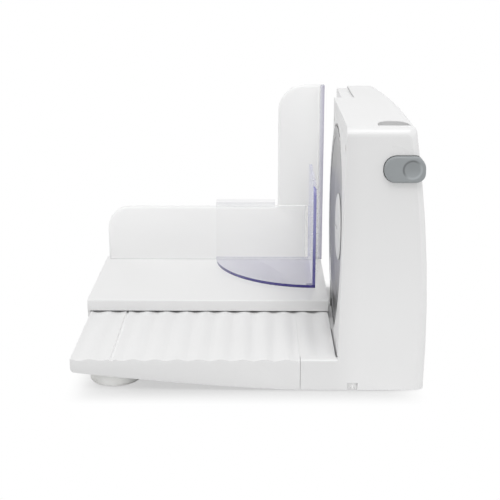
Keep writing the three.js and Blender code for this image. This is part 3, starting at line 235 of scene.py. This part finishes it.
def soft_box(name, place, aim, width, height, watts):
    light = bpy.data.lights.new(name, "AREA")
    light.shape = "RECTANGLE"
    light.size = width
    light.size_y = height
    light.energy = watts
    lamp = bpy.data.objects.new(name, light)
    lamp.location = place
    lamp.rotation_euler = (Vector(aim) - Vector(place)).to_track_quat("-Z", "Y").to_euler()
    scene.collection.objects.link(lamp)


soft_box("soft_box_front", place=(0, -1.25, 2.9), aim=(0, 0, 0.1), width=2.2, height=1.6, watts=46)
soft_box("soft_box_left", place=(-1.5, -0.4, 0.9), aim=(0, 0, 0.12), width=1.0, height=1.0, watts=2.2)
soft_box("soft_box_right", place=(1.5, -0.4, 0.9), aim=(0, 0, 0.12), width=1.0, height=1.0, watts=2.2)


# Housing shell. Injection-moulded white plastic with a fine spark-eroded grain, made in one shot with the foot
# block that carries the tray. Hands have polished it a little round the switch. Painted shade greys the thumb
# scoop and the front's left side and top.
def moulded(name, colour, rough, grain=0.12, tone=0.02, worn=None, lines=None, painted_shade=None, painted_light=None):
    """Moulded plastic: fine pores, faint flow tones, uneven gloss. Worn and lines add its own marks, the last two
    paint shade and light.
    """
    gloss_spread, polish, line_gloss, line_height = 0.12, 0.12, 0.1, 0.6
    shade_paint_share, light_paint_white = 0.78, (1.0, 1.0, 1.0)
    pore_depth = 0.00012
    finish = Finish(name)
    place = finish.node("TexCoord", out="Object")
    flow = finish.noise(place, scale=9, detail=3)
    pores = finish.noise(place, scale=2600, detail=2, rough=0.6)
    patches = finish.noise(place, scale=32, detail=4, rough=0.65)
    gloss = rough - gloss_spread / 2 + gloss_spread * patches
    height = pores
    if worn:
        gloss = gloss - polish * worn(finish, place)
    if lines:
        marks = lines(finish, place)
        gloss = gloss + line_gloss * marks
        height = height + line_height * marks
    shade = finish.tint(flow, [c * (1 - tone) for c in colour], [min(1, c * (1 + tone)) for c in colour])
    # Painted shade: the mask darkens the colour.
    if painted_shade:
        shade = finish.tint(painted_shade(finish, finish.split(place)), shade, [shade_paint_share * c for c in colour])
    # Painted light: the mask whitens the colour.
    if painted_light:
        shade = finish.tint(painted_light(finish, finish.split(place)), shade, light_paint_white)
    bump = finish.relief(height, grain, pore_depth)
    return finish.skin({"Base Color": shade, "Roughness": gloss, "Normal": bump, "IOR": 1.5})


def dress(name, material, soft=0.0006, crease=35, even=0.4):
    """Gives a CAD node its finish, joins its split edges for smooth shading and eases its sharp edges."""
    node = nodes[name]
    node.data.materials.clear()
    node.data.materials.append(material)
    node.data.polygons.foreach_set("use_smooth", [True] * len(node.data.polygons))
    weld = node.modifiers.new("weld", "WELD")
    weld.merge_threshold = 0.000005
    flat = node.modifiers.new("flat", "DECIMATE")
    flat.decimate_type = "DISSOLVE"
    flat.angle_limit = math.radians(even)
    ease = node.modifiers.new("ease", "BEVEL")
    ease.width = soft
    ease.segments = 2
    ease.limit_method = "ANGLE"
    ease.angle_limit = math.radians(crease)
    ease.harden_normals = True


def middle(name):
    lowest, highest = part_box(name)
    return (Vector(lowest) + Vector(highest)) / 2


def handled(finish, place):
    """Where thumbs rub the housing, round its switch."""
    most, least = 0.015, 0.07
    return 1 - finish.ease(finish.distance(place, middle("switch_button")), most, least)


def housing_painted_shade(finish, place):
    """Painted shade in the thumb scoop's floor and back, and over the front's left side and top."""
    lowest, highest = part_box("housing_shell")
    left, right, front, back, depth = 0.109, 0.1365, -0.1328, -0.1086, 0.004
    margin, rim, skin_depth = 0.0002, 0.0005, 0.0004
    left_tone, left_start, left_end = 0.3, 0.072, 0.1
    top_tone, top_start, top_end = 0.26, 0.05, 0.19
    across = (place[0] > left - margin) * (place[0] < right + margin)
    along = (place[1] > front - margin) * (place[1] < back + margin)
    below = (place[2] < highest[2] - rim) * (place[2] > highest[2] - depth - margin)
    on_front = place[1] < lowest[1] + skin_depth
    by_left = left_tone - left_tone * finish.ease(place[0], left_start, left_end)
    by_top = top_tone * finish.ease(place[2], top_start, top_end)
    return across * along * below + on_front * (by_left + by_top)


housing_plastic = moulded("housing_plastic", colour=(0.85, 0.85, 0.85), rough=0.4, worn=handled, painted_shade=housing_painted_shade)
dress("housing_shell", housing_plastic)
even = nodes["housing_shell"].modifiers.new("even", "WEIGHTED_NORMAL")
even.keep_sharp = True


# Blade-side plate. A second moulding of the same white plastic that closes the housing behind the blade. The
# blade's turning throws juice on it, so it is smoother than the shell and easy to wipe.
def wiped(finish, place):
    """Arcs left by a cloth round the blade's pan."""
    strength = 0.5
    return strength * finish.bands(finish.distance(place, middle("blade")), scale=200, detail=1)


plate_plastic = moulded("plate_plastic", colour=(0.845, 0.845, 0.845), rough=0.36, grain=0.06, worn=wiped)
dress("blade_plate", plate_plastic, soft=0.0004)


# Bottom cover. A pale moulded plate with air slots, screwed up into the housing. It is coarser than what shows
# from above and takes its marks from the worktop.
def dragged(finish, place):
    """Short scuffs from being pushed about on a table."""
    scuffs = finish.streaks(place, scale=(60, 900, 60), detail=1, turn=0.5)
    return finish.ease(scuffs, start=0.6, end=0.8)


cover_plastic = moulded("cover_plastic", colour=(0.72, 0.73, 0.74), rough=0.55, grain=0.3, lines=dragged)
dress("bottom_cover", cover_plastic, soft=0.0003)


# Housing pads. Three soft black rubber discs whose stems are pulled through holes in the bottom cover.
# Rubber has no shine and shows fine dust.
def rubbery(name, colour, dust):
    rough, bloom_rough, grain, crumb_depth = 0.62, 0.2, 0.25, 0.0001
    finish = Finish(name)
    place = finish.node("TexCoord", out="Object")
    crumbs = finish.noise(place, scale=1400, detail=3, rough=0.7)
    bloom = finish.noise(place, scale=90, detail=4, rough=0.6)
    return finish.skin({
        "Base Color": finish.tint(finish.ease(bloom, start=0.4, end=0.75), colour, dust),
        "Roughness": rough + bloom_rough * bloom, "Normal": finish.relief(crumbs, grain, crumb_depth), "IOR": 1.45,
    })


pad_rubber = rubbery("pad_rubber", colour=(0.022, 0.022, 0.024), dust=(0.05, 0.05, 0.05))
for end in ("front", "middle", "rear"):
    dress("housing_pad_" + end, pad_rubber, soft=0.0002)


# Tray. One white moulding with shallow waves along the way the carriage slides and one narrow guide groove. The
# carriage has drawn fine lines along the crests. Painted light whitens the groove's sides and painted shade darkens
# the front face. A bead of the same plastic fills the joint with the foot block.
def slid(finish, place):
    """Hair lines along the slide's travel."""
    hairs = finish.streaks(place, scale=(850, 4, 850), detail=2, rough=0.6)
    return finish.ease(hairs, start=0.5, end=0.8)


# Painted shade on the tray's front face.
def front_face_painted_shade(finish, place):
    strength, skin_depth = 0.4, 0.0004
    return strength * (place[1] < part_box("base_tray")[0][1] + skin_depth)


# Painted light that whitens the groove's sides.
def groove_painted_light(finish, place):
    half_width, from_crest, to_floor = 0.0014, 0.00004, 0.0016
    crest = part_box("base_tray")[1][2]
    beside = abs(place[0] - middle("guide_runner")[0]) < half_width
    return beside * (place[2] < crest - from_crest) * (place[2] > crest - to_floor)


def bead_between(name, first, second, material):
    """A closed strip from one end outline to the other."""
    around = len(first)
    faces = [(k, k + around, (k + 1) % around + around, (k + 1) % around) for k in range(around)]
    for k in range(1, around - 1):
        faces += [(0, k, k + 1), (around, around + k + 1, around + k)]
    mesh = bpy.data.meshes.new(name)
    mesh.from_pydata(first + second, [], faces)
    mesh.materials.append(material)
    strip = bpy.data.objects.new(name, mesh)
    scene.collection.objects.link(strip)
    return strip


tray_plastic = moulded("tray_plastic", colour=(0.865, 0.865, 0.865), rough=0.38,
                       lines=slid, painted_shade=front_face_painted_shade, painted_light=groove_painted_light)
dress("base_tray", tray_plastic, soft=0.0003, crease=50)
seam_gap, seam_depth, block_end = 0.00002, 0.003, 0.0112
tray_drop, block_drop = 0.00143, 0.0013
tray_low, tray_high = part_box("base_tray")
tray_side = tray_high[0] + seam_gap
block_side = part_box("housing_shell")[0][0] - seam_gap
seam_outline = [(tray_side, tray_drop), (tray_side, seam_depth), (block_side, seam_depth), (block_side, block_drop)]
seam_ends = [[(x, y, tray_high[2] - drop) for x, drop in seam_outline]
             for y in (tray_low[1] + block_end, tray_high[1] - block_end)]
seam = bead_between("seam_bead", *seam_ends, tray_plastic)
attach(seam, "housing")


# Tray feet. Two soft cups of pale rubber-like plastic, pushed by their stems into sockets under the tray.
# Each is matt and a little dusty.
foot_rubber = rubbery("foot_rubber", colour=(0.92, 0.92, 0.9), dust=(0.95, 0.95, 0.935))
for end in ("front", "rear"):
    dress("tray_foot_" + end, foot_rubber, soft=0.0003)


# Cord gland. A pale moulded block with a rib, held in the notch at the foot of the front wall by the cover.
# It lets the cord out and keeps it from pulling.
gland_plastic = moulded("gland_plastic", colour=(0.88, 0.88, 0.875), rough=0.5, grain=0.2)
dress("cord_gland", gland_plastic, soft=0.0002)


# Motor. A drawn and zinc-plated steel can, held down on the plate's saddles by two bent steel straps. Drawing
# leaves long lines, and the zinc has a spangled, slightly yellow film.
def metal(name, colour, rough, lines, stain=None, height=0.06):
    """Bare or plated metal. Lines gives the tool marks, stain the second tone that lies on it in patches."""
    smoothest, line_rough, film_rough = rough - 0.07, 0.1, 0.06
    line_depth, film_share = 0.00005, 0.9
    finish = Finish(name)
    place = finish.node("TexCoord", out="Object")
    marks = lines(finish, place)
    film = finish.noise(place, scale=70, detail=4, rough=0.6)
    patches = finish.ease(film, start=0.35, end=0.75)
    return finish.skin({
        "Base Color": finish.tint(patches, colour, stain or [film_share * c for c in colour]),
        "Metallic": 1.0, "Roughness": smoothest + line_rough * marks + film_rough * film,
        "Normal": finish.relief(marks, height, line_depth),
    })


def drawn_along_y(finish, place):
    return finish.streaks(place, scale=(900, 12, 900), detail=2)


zinc_plate = metal("zinc_plate", colour=(0.55, 0.55, 0.53), rough=0.38, lines=drawn_along_y, stain=(0.52, 0.50, 0.44))
for name in ("motor_can", "motor_strap_front", "motor_strap_rear"):
    dress(name, zinc_plate, soft=0.0003)


# Worm shaft. Hardened steel, turned and ground, with a thin film of grease in the thread. It runs in the
# motor's nose and in a sintered bronze bush at the plate's rib.
def turned_along(axis):
    def rings(finish, place):
        return finish.bands(finish.split(place)["xyz".index(axis)], scale=2600, detail=1)
    return rings


def sintered(finish, place):
    return finish.noise(place, scale=2200, detail=3, rough=0.7)


worm_steel = metal("worm_steel", colour=(0.42, 0.42, 0.42), rough=0.3, lines=turned_along("y"),
                   stain=(0.34, 0.31, 0.26))
dress("worm_shaft", worm_steel, soft=0.0001)
bronze = metal("sintered_bronze", colour=(0.55, 0.37, 0.17), rough=0.42, lines=sintered,
               stain=(0.46, 0.30, 0.14), height=0.2)
for name in ("worm_bush", "spindle_bush"):
    dress(name, bronze, soft=0.0002)


# Worm wheel. Natural nylon, moulded with its rim, web and hub, and pressed on the spindle before a steel
# collar. Nylon is waxy and slightly yellow.
natural_nylon = moulded("natural_nylon", colour=(0.74, 0.70, 0.59), rough=0.46, grain=0.08, tone=0.04)
dress("drive_gear", natural_nylon, soft=0.0001)
bright_steel = metal("bright_steel", colour=(0.56, 0.565, 0.57), rough=0.28, lines=turned_along("x"))
dress("gear_collar", bright_steel, soft=0.0002)


# Blade spindle. Turned steel with a round carrier that holds the blade. It runs in a bronze bush in the
# plate's boss.
dress("blade_spindle", bright_steel, soft=0.0002)


# Blade. A dished disc of stainless steel with a ground band and a serrated edge. Grinding leaves fine rings
# round its middle, and the band is a little duller than the disc.
band_width, band_edge = 0.009, 0.0004
disc_rough, ring_rough, smudge_rough, band_rough = 0.22, 0.1, 0.1, 0.04
ring_strength, ring_depth = 0.1, 0.00005
blade_low, blade_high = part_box("blade")
ground_radius = (blade_high[2] - blade_low[2]) / 2 - band_width
stainless = Finish("blade_steel")
place = stainless.node("TexCoord", out="Object")
reach = stainless.distance(place, middle("blade"))
fine = stainless.bands(reach, scale=2400, detail=2)
broad = stainless.bands(reach, scale=420, detail=3)
smudge = stainless.noise(place, scale=26, detail=4, rough=0.6)
ground = stainless.ease(reach, ground_radius - band_edge, ground_radius + band_edge)
disc = stainless.tint(broad, (0.36, 0.36, 0.362), (0.425, 0.425, 0.428))
band = stainless.tint(broad, (0.36, 0.36, 0.362), (0.42, 0.42, 0.422))
blade_steel = stainless.skin({
    "Base Color": stainless.tint(ground, disc, band), "Metallic": 1.0,
    "Roughness": disc_rough + ring_rough * fine + smudge_rough * smudge + band_rough * ground,
    "Normal": stainless.relief(fine, ring_strength, ring_depth),
})
dress("blade", blade_steel, soft=0.0001, crease=5, even=0.02)


# Blade cap. A pale moulded disc that covers the blade's fixing and turns with it. It is unscrewed with a coin
# to take the blade off, and painted shade darkens the coin's slot.
# Painted shade in the coin slot's recess.
def coin_slot_painted_shade(finish, place):
    length_share, half_width, below_face = 0.4, 0.0021, 0.0003
    lowest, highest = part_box("blade_cap")
    half_length = length_share * (highest[1] - lowest[1]) / 2
    hub = middle("blade_cap")
    inside = (abs(place[1] - hub[1]) < half_length) * (abs(place[2] - hub[2]) < half_width)
    return inside * (place[0] > lowest[0] + below_face)


cap_plastic = moulded("cap_plastic", colour=(0.76, 0.765, 0.77), rough=0.4, grain=0.08, painted_shade=coin_slot_painted_shade)
dress("blade_cap", cap_plastic, soft=0.0002, even=0.02)


# Stop plate. A white moulding beyond the blade, on which the food lies while it is cut. Food rubs it smooth
# along its length.
stop_plastic = moulded("stop_plastic", colour=(0.855, 0.855, 0.855), rough=0.36, lines=slid)
dress("stop_plate", stop_plastic, soft=0.0002)


# Guide rods and bushes. Two bright steel rods pressed into the stop plate slide in nylon bushes in the bay's
# wall and keep the plate square.
for level in ("low", "high"):
    dress("guide_rod_" + level, bright_steel, soft=0.0002)
    dress("guide_bush_" + level, natural_nylon, soft=0.0002)


# Rack and pinion. A nylon rack on the stop plate's back and a pinion with its shaft, moulded in one, that the
# dial turns in a nylon bush in the housing's rear wall.
for name in ("stop_rack", "pinion_shaft", "dial_bush"):
    dress(name, natural_nylon, soft=0.0001)


# Thickness dial. Cool grey moulded plastic with finger flutes, pressed on the pinion's shaft. Its face has a
# printed scale of one line for each millimetre of slice.
dial_grey, print_white, worn_share = (0.30, 0.315, 0.325), (0.8, 0.8, 0.8), 0.95
dial_degrees, slice_lines = 143.3, 15
line_half, half_step, lines_each_way, scale_inner, scale_outer = 0.09, 0.5, 7.6, 0.7, 0.93
dial_rough, worn_rough, dial_grain, dial_pores = 0.4, 0.14, 0.15, 0.0001
dial_low, dial_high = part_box("thickness_dial")
dial_middle = middle("thickness_dial")
dial_radius = (dial_high[0] - dial_low[0]) / 2
dial = Finish("dial_plastic")
place = dial.node("TexCoord", out="Object")
spot = dial.split(place)
side, rise = spot[0] - dial_middle[0], spot[2] - dial_middle[2]
face_place = dial.node("CombineXYZ", {}, {0: side, 2: rise})
reach = dial.node("VectorMath", {"operation": "LENGTH"}, {0: face_place}, "Value")
lines_per_radian = math.degrees(1) * slice_lines / dial_degrees
turn = dial.node("Math", {"operation": "ARCTAN2"}, {0: side, 1: rise}) * lines_per_radian
off_line = abs(dial.node("Math", {"operation": "WRAP"}, {0: turn, 1: -half_step, 2: half_step}))
on_scale = (abs(turn) < lines_each_way) * (reach > scale_inner * dial_radius) * (reach < scale_outer * dial_radius)
pores = dial.noise(place, scale=2600, detail=2)
worn = dial.noise(place, scale=120, detail=3)
plain = dial.tint(worn, [worn_share * c for c in dial_grey], dial_grey)
dial_plastic = dial.skin({
    "Base Color": dial.tint((off_line < line_half) * on_scale, plain, print_white),
    "Roughness": dial_rough + worn_rough * worn, "Normal": dial.relief(pores, dial_grain, dial_pores),
})
dress("thickness_dial", dial_plastic, soft=0.0004)


# Push switch. A cool grey moulded button that wraps the right front corner, with a round thumb dimple. The
# dimple is polished by use and has painted shade inside; its rim has a painted highlight at the lower right and
# painted shade at the upper left.
switch_grey = (0.305, 0.325, 0.335)
dimple_radius, dimple_from_end, dimple_shade_share = 0.0074, 0.0112, 0.6
soft_inside, soft_outside, rim_core, rim_half, rim_blend = 0.0004, 0.0002, 0.0003, 0.0014, 0.006
switch_rough, patch_rough, dimple_polish, switch_grain, switch_pores = 0.4, 0.12, 0.14, 0.12, 0.0001
dark_patch, pale_patch, dimple_painted_shade, rim_painted_shade, rim_painted_highlight = (
    [share * c for c in switch_grey] for share in (0.96, 1.03, 0.97, 0.55, 1.25))
switch_low, switch_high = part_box("switch_button")
dimple_middle = (switch_high[0] - dimple_from_end, switch_low[1], (switch_low[2] + switch_high[2]) / 2)
button = Finish("switch_plastic")
place = button.node("TexCoord", out="Object")
reach = button.distance(place, dimple_middle)
inside = 1 - button.ease(reach, dimple_radius - soft_inside, dimple_radius + soft_outside)
at_rim = 1 - button.ease(abs(reach - dimple_radius), rim_core, rim_half)
spot = button.split(place)
rim_lit_side = button.ease(spot[0] - spot[2] - (dimple_middle[0] - dimple_middle[2]), -rim_blend, rim_blend)
pores = button.noise(place, scale=2600, detail=2)
patches = button.noise(place, scale=60, detail=4, rough=0.6)
plain = button.tint(patches, dark_patch, pale_patch)
# Painted shade inside the dimple.
dimple_shaded = button.tint(dimple_shade_share * inside, plain, dimple_painted_shade)
# Painted highlight on the rim's lower right, painted shade on its upper left.
rim_painted_light = button.tint(rim_lit_side, rim_painted_shade, rim_painted_highlight)
switch_plastic = button.skin({
    "Base Color": button.tint(at_rim, dimple_shaded, rim_painted_light),
    "Roughness": switch_rough + patch_rough * patches - dimple_polish * inside,
    "Normal": button.relief(pores, switch_grain, switch_pores),
})
dress("switch_button", switch_plastic, soft=0.0004, crease=20)


# Micro switch. A bought block of black filled nylon that snaps behind the button. Its sides show the mould's
# fine matt grain.
dress("micro_switch", moulded("switch_block", colour=(0.03, 0.03, 0.032), rough=0.55, grain=0.3), soft=0.0003)


# Carriage table. A white moulding that slides on the tray, with a flange over the tray's left edge. Food and
# knives leave faint crossed scratches on its top.
def scratched(finish, place):
    one_way, other_way = (
        finish.ease(finish.streaks(place, scale=(1100, 14, 60), detail=1, turn=turn), start=0.68, end=0.82)
        for turn in (0.35, -0.6))
    return one_way + other_way


table_plastic = moulded("table_plastic", colour=(0.88, 0.88, 0.878), rough=0.4, lines=scratched)
dress("carriage_table", table_plastic, soft=0.0003)


# Back wall. A hollow white moulding, low along the table and tall beside the blade, screwed up through the
# table. It is smooth so that the pusher's hook slides along it, and a bead fills the joint under its round foot.
wall_plastic = moulded("wall_plastic", colour=(0.95, 0.95, 0.95), rough=0.36, grain=0.08)
dress("back_wall", wall_plastic, soft=0.0001)
wall_low, wall_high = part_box("back_wall")
joint_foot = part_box("carriage_table")[1][2]
back_height_inset = [
    (0.00008, 0.00024, 0.00285), (0.00008, 0.00304, 0.00285), (0.00044, 0.00216, 0.00195),
    (0.00085, 0.00116, 0.00097), (0.0026, 0.0004, 0.0002), (0.0026, 0.00024, 0.0002),
]
bead_ends = [[(end + way * inset, wall_low[1] + back, joint_foot + height)
              for back, height, inset in back_height_inset]
             for end, way in ((wall_low[0], 1), (wall_high[0], -1))]
bead = bead_between("wall_bead", *bead_ends, wall_plastic)
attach(bead, "carriage")


# Thumb guard. A clear sheet of faintly violet plastic pegged to the tall wall's blade-side edge. Its cut edges
# gather the light and look deeper in colour than its faces.
def clear_sheet(name, colour, cover, edges):
    """Clear plastic with the colour and cover of its faces. Edges gives those of its other parts, with masks."""
    smooth, scuff_rough = 0.05, 0.12
    finish = Finish(name)
    place, facing = finish.outputs("TexCoord", "Object", "Normal")
    for mask, edge_colour, edge_cover in edges(finish, finish.split(place), [abs(n) for n in finish.split(facing)]):
        colour = finish.tint(mask, colour, edge_colour)
        cover = mask * edge_cover + (1 - mask) * cover
    scuffs = finish.ease(finish.noise(place, scale=45, detail=4, rough=0.7), start=0.5, end=0.8)
    return finish.skin({
        "Base Color": colour, "Alpha": cover, "Roughness": smooth + scuff_rough * scuffs, "IOR": 1.49,
    })


def lets_light_through(name):
    """Clear plastic throws next to no shadow."""
    nodes[name].visible_shadow = False
    nodes[name].visible_diffuse = False


def guard_edges(finish, place, facing):
    sideways, deepening, deepest = 0.6, 0.0018, 0.0006
    blade_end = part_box("thumb_guard")[1][0]
    edge = facing[0] < sideways
    blade_side = finish.ease(place[0], blade_end - deepening, blade_end - deepest)
    return [(edge, (0.66, 0.655, 0.76), 0.6), (edge * blade_side, (0.36, 0.34, 0.45), 0.85)]


guard_clear = clear_sheet("guard_clear", colour=(0.62, 0.62, 0.8), cover=0.07, edges=guard_edges)
dress("thumb_guard", guard_clear, soft=0.0003)
lets_light_through("thumb_guard")


# Guide runner. A nylon strip under the carriage that runs in the tray's groove. It is moulded and snapped
# into the table.
dress("guide_runner", natural_nylon, soft=0.0002)


# Food pusher. One clear violet moulding: a quarter-round floor, a back with a hook over the low wall and an
# end plate with short spikes. Its cut edges carry the colour and its faces are almost bare. White painted
# highlights lie on the back's top edge past the hook, along its bend into the end plate and on the spikes.
def pusher_edges(finish, place, facing):
    """Masks of the pusher's parts, each with its colour and cover. A later one lies over those before it."""
    thickness, spike_reach, spike_rise, hook_reach, hook_width = 0.0032, 0.003, 0.0001, 0.0126, 0.064
    hook_height, highlight_height = 0.0585, 0.05
    end_tint, end_full, corner_long, corner_wide, floor_tint = 0.014, 0.004, 0.012, 0.006, 0.06
    edge_foot, edge_top, bend_outer, bend_inner = 0.012, 0.075, 2.2 * thickness, 1.9 * thickness
    level, sideways, square, rim_fade = 0.85, 0.98, 0.6, 0.15
    painted_highlight_white = (1.0, 1.0, 1.0)
    lowest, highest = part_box("food_pusher")
    end_face = highest[0] - spike_reach
    spike_foot = end_face + spike_rise
    in_floor = place[2] < lowest[2] + thickness
    in_end = (place[0] > end_face - thickness) * (place[0] < spike_foot)
    in_hook = (place[2] > lowest[2] + hook_height) * (place[0] < lowest[0] + hook_width)
    at_back = place[1] > highest[1] - hook_reach - thickness / 3
    rim = in_floor * (facing[2] < level) * (facing[0] < sideways) * (1 - at_back)
    by_end = finish.ease(place[0], highest[0] - end_tint, highest[0] - end_full)
    corner = (place[0] > highest[0] - corner_long) * (place[1] < lowest[1] + corner_wide)
    spike_highlight = place[0] > spike_foot
    past_hook = (place[2] > lowest[2] + highlight_height) * (place[0] > lowest[0] + hook_width)
    bend_highlight = finish.ease(place[0], end_face - bend_outer, end_face - bend_inner)
    floor_face = in_floor * (facing[2] > level)
    along_floor = finish.ease(place[0], lowest[0], lowest[0] + floor_tint)
    near_edge = in_end * (facing[1] > square) * (1 - at_back)
    up_edge = finish.ease(place[2], lowest[2] + edge_foot, lowest[2] + edge_top)
    return [
        # Painted highlights: white on the back's top edge past the hook and along the bend.
        ((facing[2] > square) * past_hook, painted_highlight_white, 0.9),
        (bend_highlight, painted_highlight_white, 0.35),
        (in_hook, (0.5, 0.5, 0.56), 0.1),
        (in_end, (0.5, 0.52, 0.96), 0.18),
        # Painted highlight on the spikes.
        (spike_highlight, painted_highlight_white, 0.4),
        (floor_face, (0.2, 0.195, 0.39), 0.14),
        (floor_face * along_floor, (0.2, 0.19, 0.37), 0.205),
        (floor_face * by_end, (0.22, 0.2, 0.5), 0.22),
        (floor_face * corner, (0.05, 0.035, 0.22), 0.55),
        (in_end * (facing[2] > square), (0.6, 0.6, 0.85), 0.3),
        (near_edge, (0.115, 0.105, 0.36), 0.95),
        (near_edge * up_edge, (0.26, 0.26, 0.58), 0.9),
        (rim, (0.03, 0.02, 0.2), 1 - rim_fade * facing[0]),
        (in_floor * at_back, (0.5, 0.5, 0.7), 0.06),
    ]


pusher_clear = clear_sheet("pusher_clear", colour=(0.8, 0.8, 0.84), cover=0.02, edges=pusher_edges)
dress("food_pusher", pusher_clear, soft=0.0003)
lets_light_through("food_pusher")


# Screws. Zinc-plated steel with a rolled thread and a pressed cross recess, driven up from below or in from the
# tray's side, so that few of them show from the front. Each recess is darkened with painted shade.
def screw_mesh(name, length):
    """A pan-head screw along z, with its head's top at 0."""
    head_height, head_radius, sides = 0.002, 0.0032, 24
    crest, root, pitch, point = 0.0015, 0.0012, 0.001, 0.003
    tip_short, tip_share = 0.0004, 0.4
    recess_reach, recess_half, recess_depth, recess_taper = 0.0019, 0.00045, 0.0012, 0.7
    depth_and_radius = ((0, 0.7), (0.06, 0.82), (0.2, 0.93), (0.45, 1.0), (0.94, 1.0), (1.0, 0.97))
    sharp_degrees = 40
    build = bmesh.new()

    def ring(depth, radius):
        turns = [2 * math.pi * k / sides for k in range(sides)]
        return [build.verts.new((radius * math.cos(t), radius * math.sin(t), depth)) for t in turns]

    def cross(depth, share):
        arm = [complex(recess_reach, -recess_half), complex(recess_reach, recess_half),
               complex(recess_half, recess_half)]
        corners = [share * corner * 1j ** quarter for quarter in range(4) for corner in arm]
        return [build.verts.new((c.real, c.imag, depth)) for c in corners]

    def edges_of(loop):
        return [build.edges.new((loop[k - 1], loop[k])) for k in range(len(loop))]

    def skin(first, second):
        for k in range(len(first)):
            build.faces.new((first[k - 1], first[k], second[k], second[k - 1]))

    rings = [ring(depth * head_height, radius * head_radius) for depth, radius in depth_and_radius]
    mouth, bottom = cross(0, 1), cross(recess_depth, recess_taper)
    bmesh.ops.triangle_fill(build, use_beauty=True, edges=edges_of(rings[0]) + edges_of(mouth))
    bmesh.ops.triangle_fill(build, use_beauty=True, edges=edges_of(bottom))
    skin(mouth, bottom)
    rings.append(ring(head_height, root))
    for turn in range(int((length - head_height - point) / pitch)):
        rings.append(ring(head_height + (turn + 0.5) * pitch, crest))
        rings.append(ring(head_height + (turn + 1) * pitch, root))
    rings.append(ring(length - tip_short, tip_share * root))
    for first, second in zip(rings, rings[1:]):
        skin(first, second)
    build.faces.new(rings[-1])
    bmesh.ops.recalc_face_normals(build, faces=build.faces)
    mesh = bpy.data.meshes.new(name)
    build.to_mesh(mesh)
    build.free()
    mesh.shade_smooth()
    mesh.set_sharp_from_angle(angle=math.radians(sharp_degrees))
    return mesh


box_middle, recess_top, recess_bottom, recess_half_share = 0.5, 0.01, 0.11, 0.31
zinc_rough, spangle_rough = 0.26, 0.16
zinc = Finish("screw_zinc")
in_box, place = zinc.outputs("TexCoord", "Generated", "Object")
across, along, depth = zinc.split(in_box)
spangle = zinc.noise(place, scale=500, detail=3)
in_cross = (abs(across - box_middle) < recess_half_share) * (abs(along - box_middle) < recess_half_share)
# Painted shade in the cross recess.
recess_painted_shade = (depth > recess_top) * (depth < recess_bottom) * in_cross
plated = zinc.tint(spangle, (0.52, 0.52, 0.51), (0.6, 0.59, 0.56))
screw_zinc = zinc.skin({
    "Base Color": zinc.tint(recess_painted_shade, plated, (0.16, 0.16, 0.155)),
    "Metallic": 1.0, "Roughness": zinc_rough + spangle_rough * spangle,
})
upright = Matrix.Identity(3)
towards_motor = Matrix(((0, 0, 1), (1, 0, 0), (0, 1, 0)))
for name, heading, body in (
    ("plate_screw_front_low", towards_motor, "housing"), ("plate_screw_back_low", towards_motor, "housing"),
    ("plate_screw_front_high", towards_motor, "housing"), ("plate_screw_back_high", towards_motor, "housing"),
    ("tray_screw_front", towards_motor, "housing"), ("tray_screw_rear", towards_motor, "housing"),
    ("cover_screw_front", upright, "housing"), ("cover_screw_rear", upright, "housing"),
    ("wall_screw_left", upright, "carriage"), ("wall_screw_right", upright, "carriage"),
):
    lowest, highest = (Vector(corner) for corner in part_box(name))
    forward = heading @ Vector((0, 0, 1))
    length = (highest - lowest).dot(forward)
    screw = bpy.data.objects.new("cross_head_" + name, screw_mesh("cross_head_" + name, length))
    screw.data.materials.append(screw_zinc)
    screw.matrix_world = Matrix.Translation(middle(name) - forward * length / 2) @ heading.to_4x4()
    scene.collection.objects.link(screw)
    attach(screw, body)
    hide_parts(name)
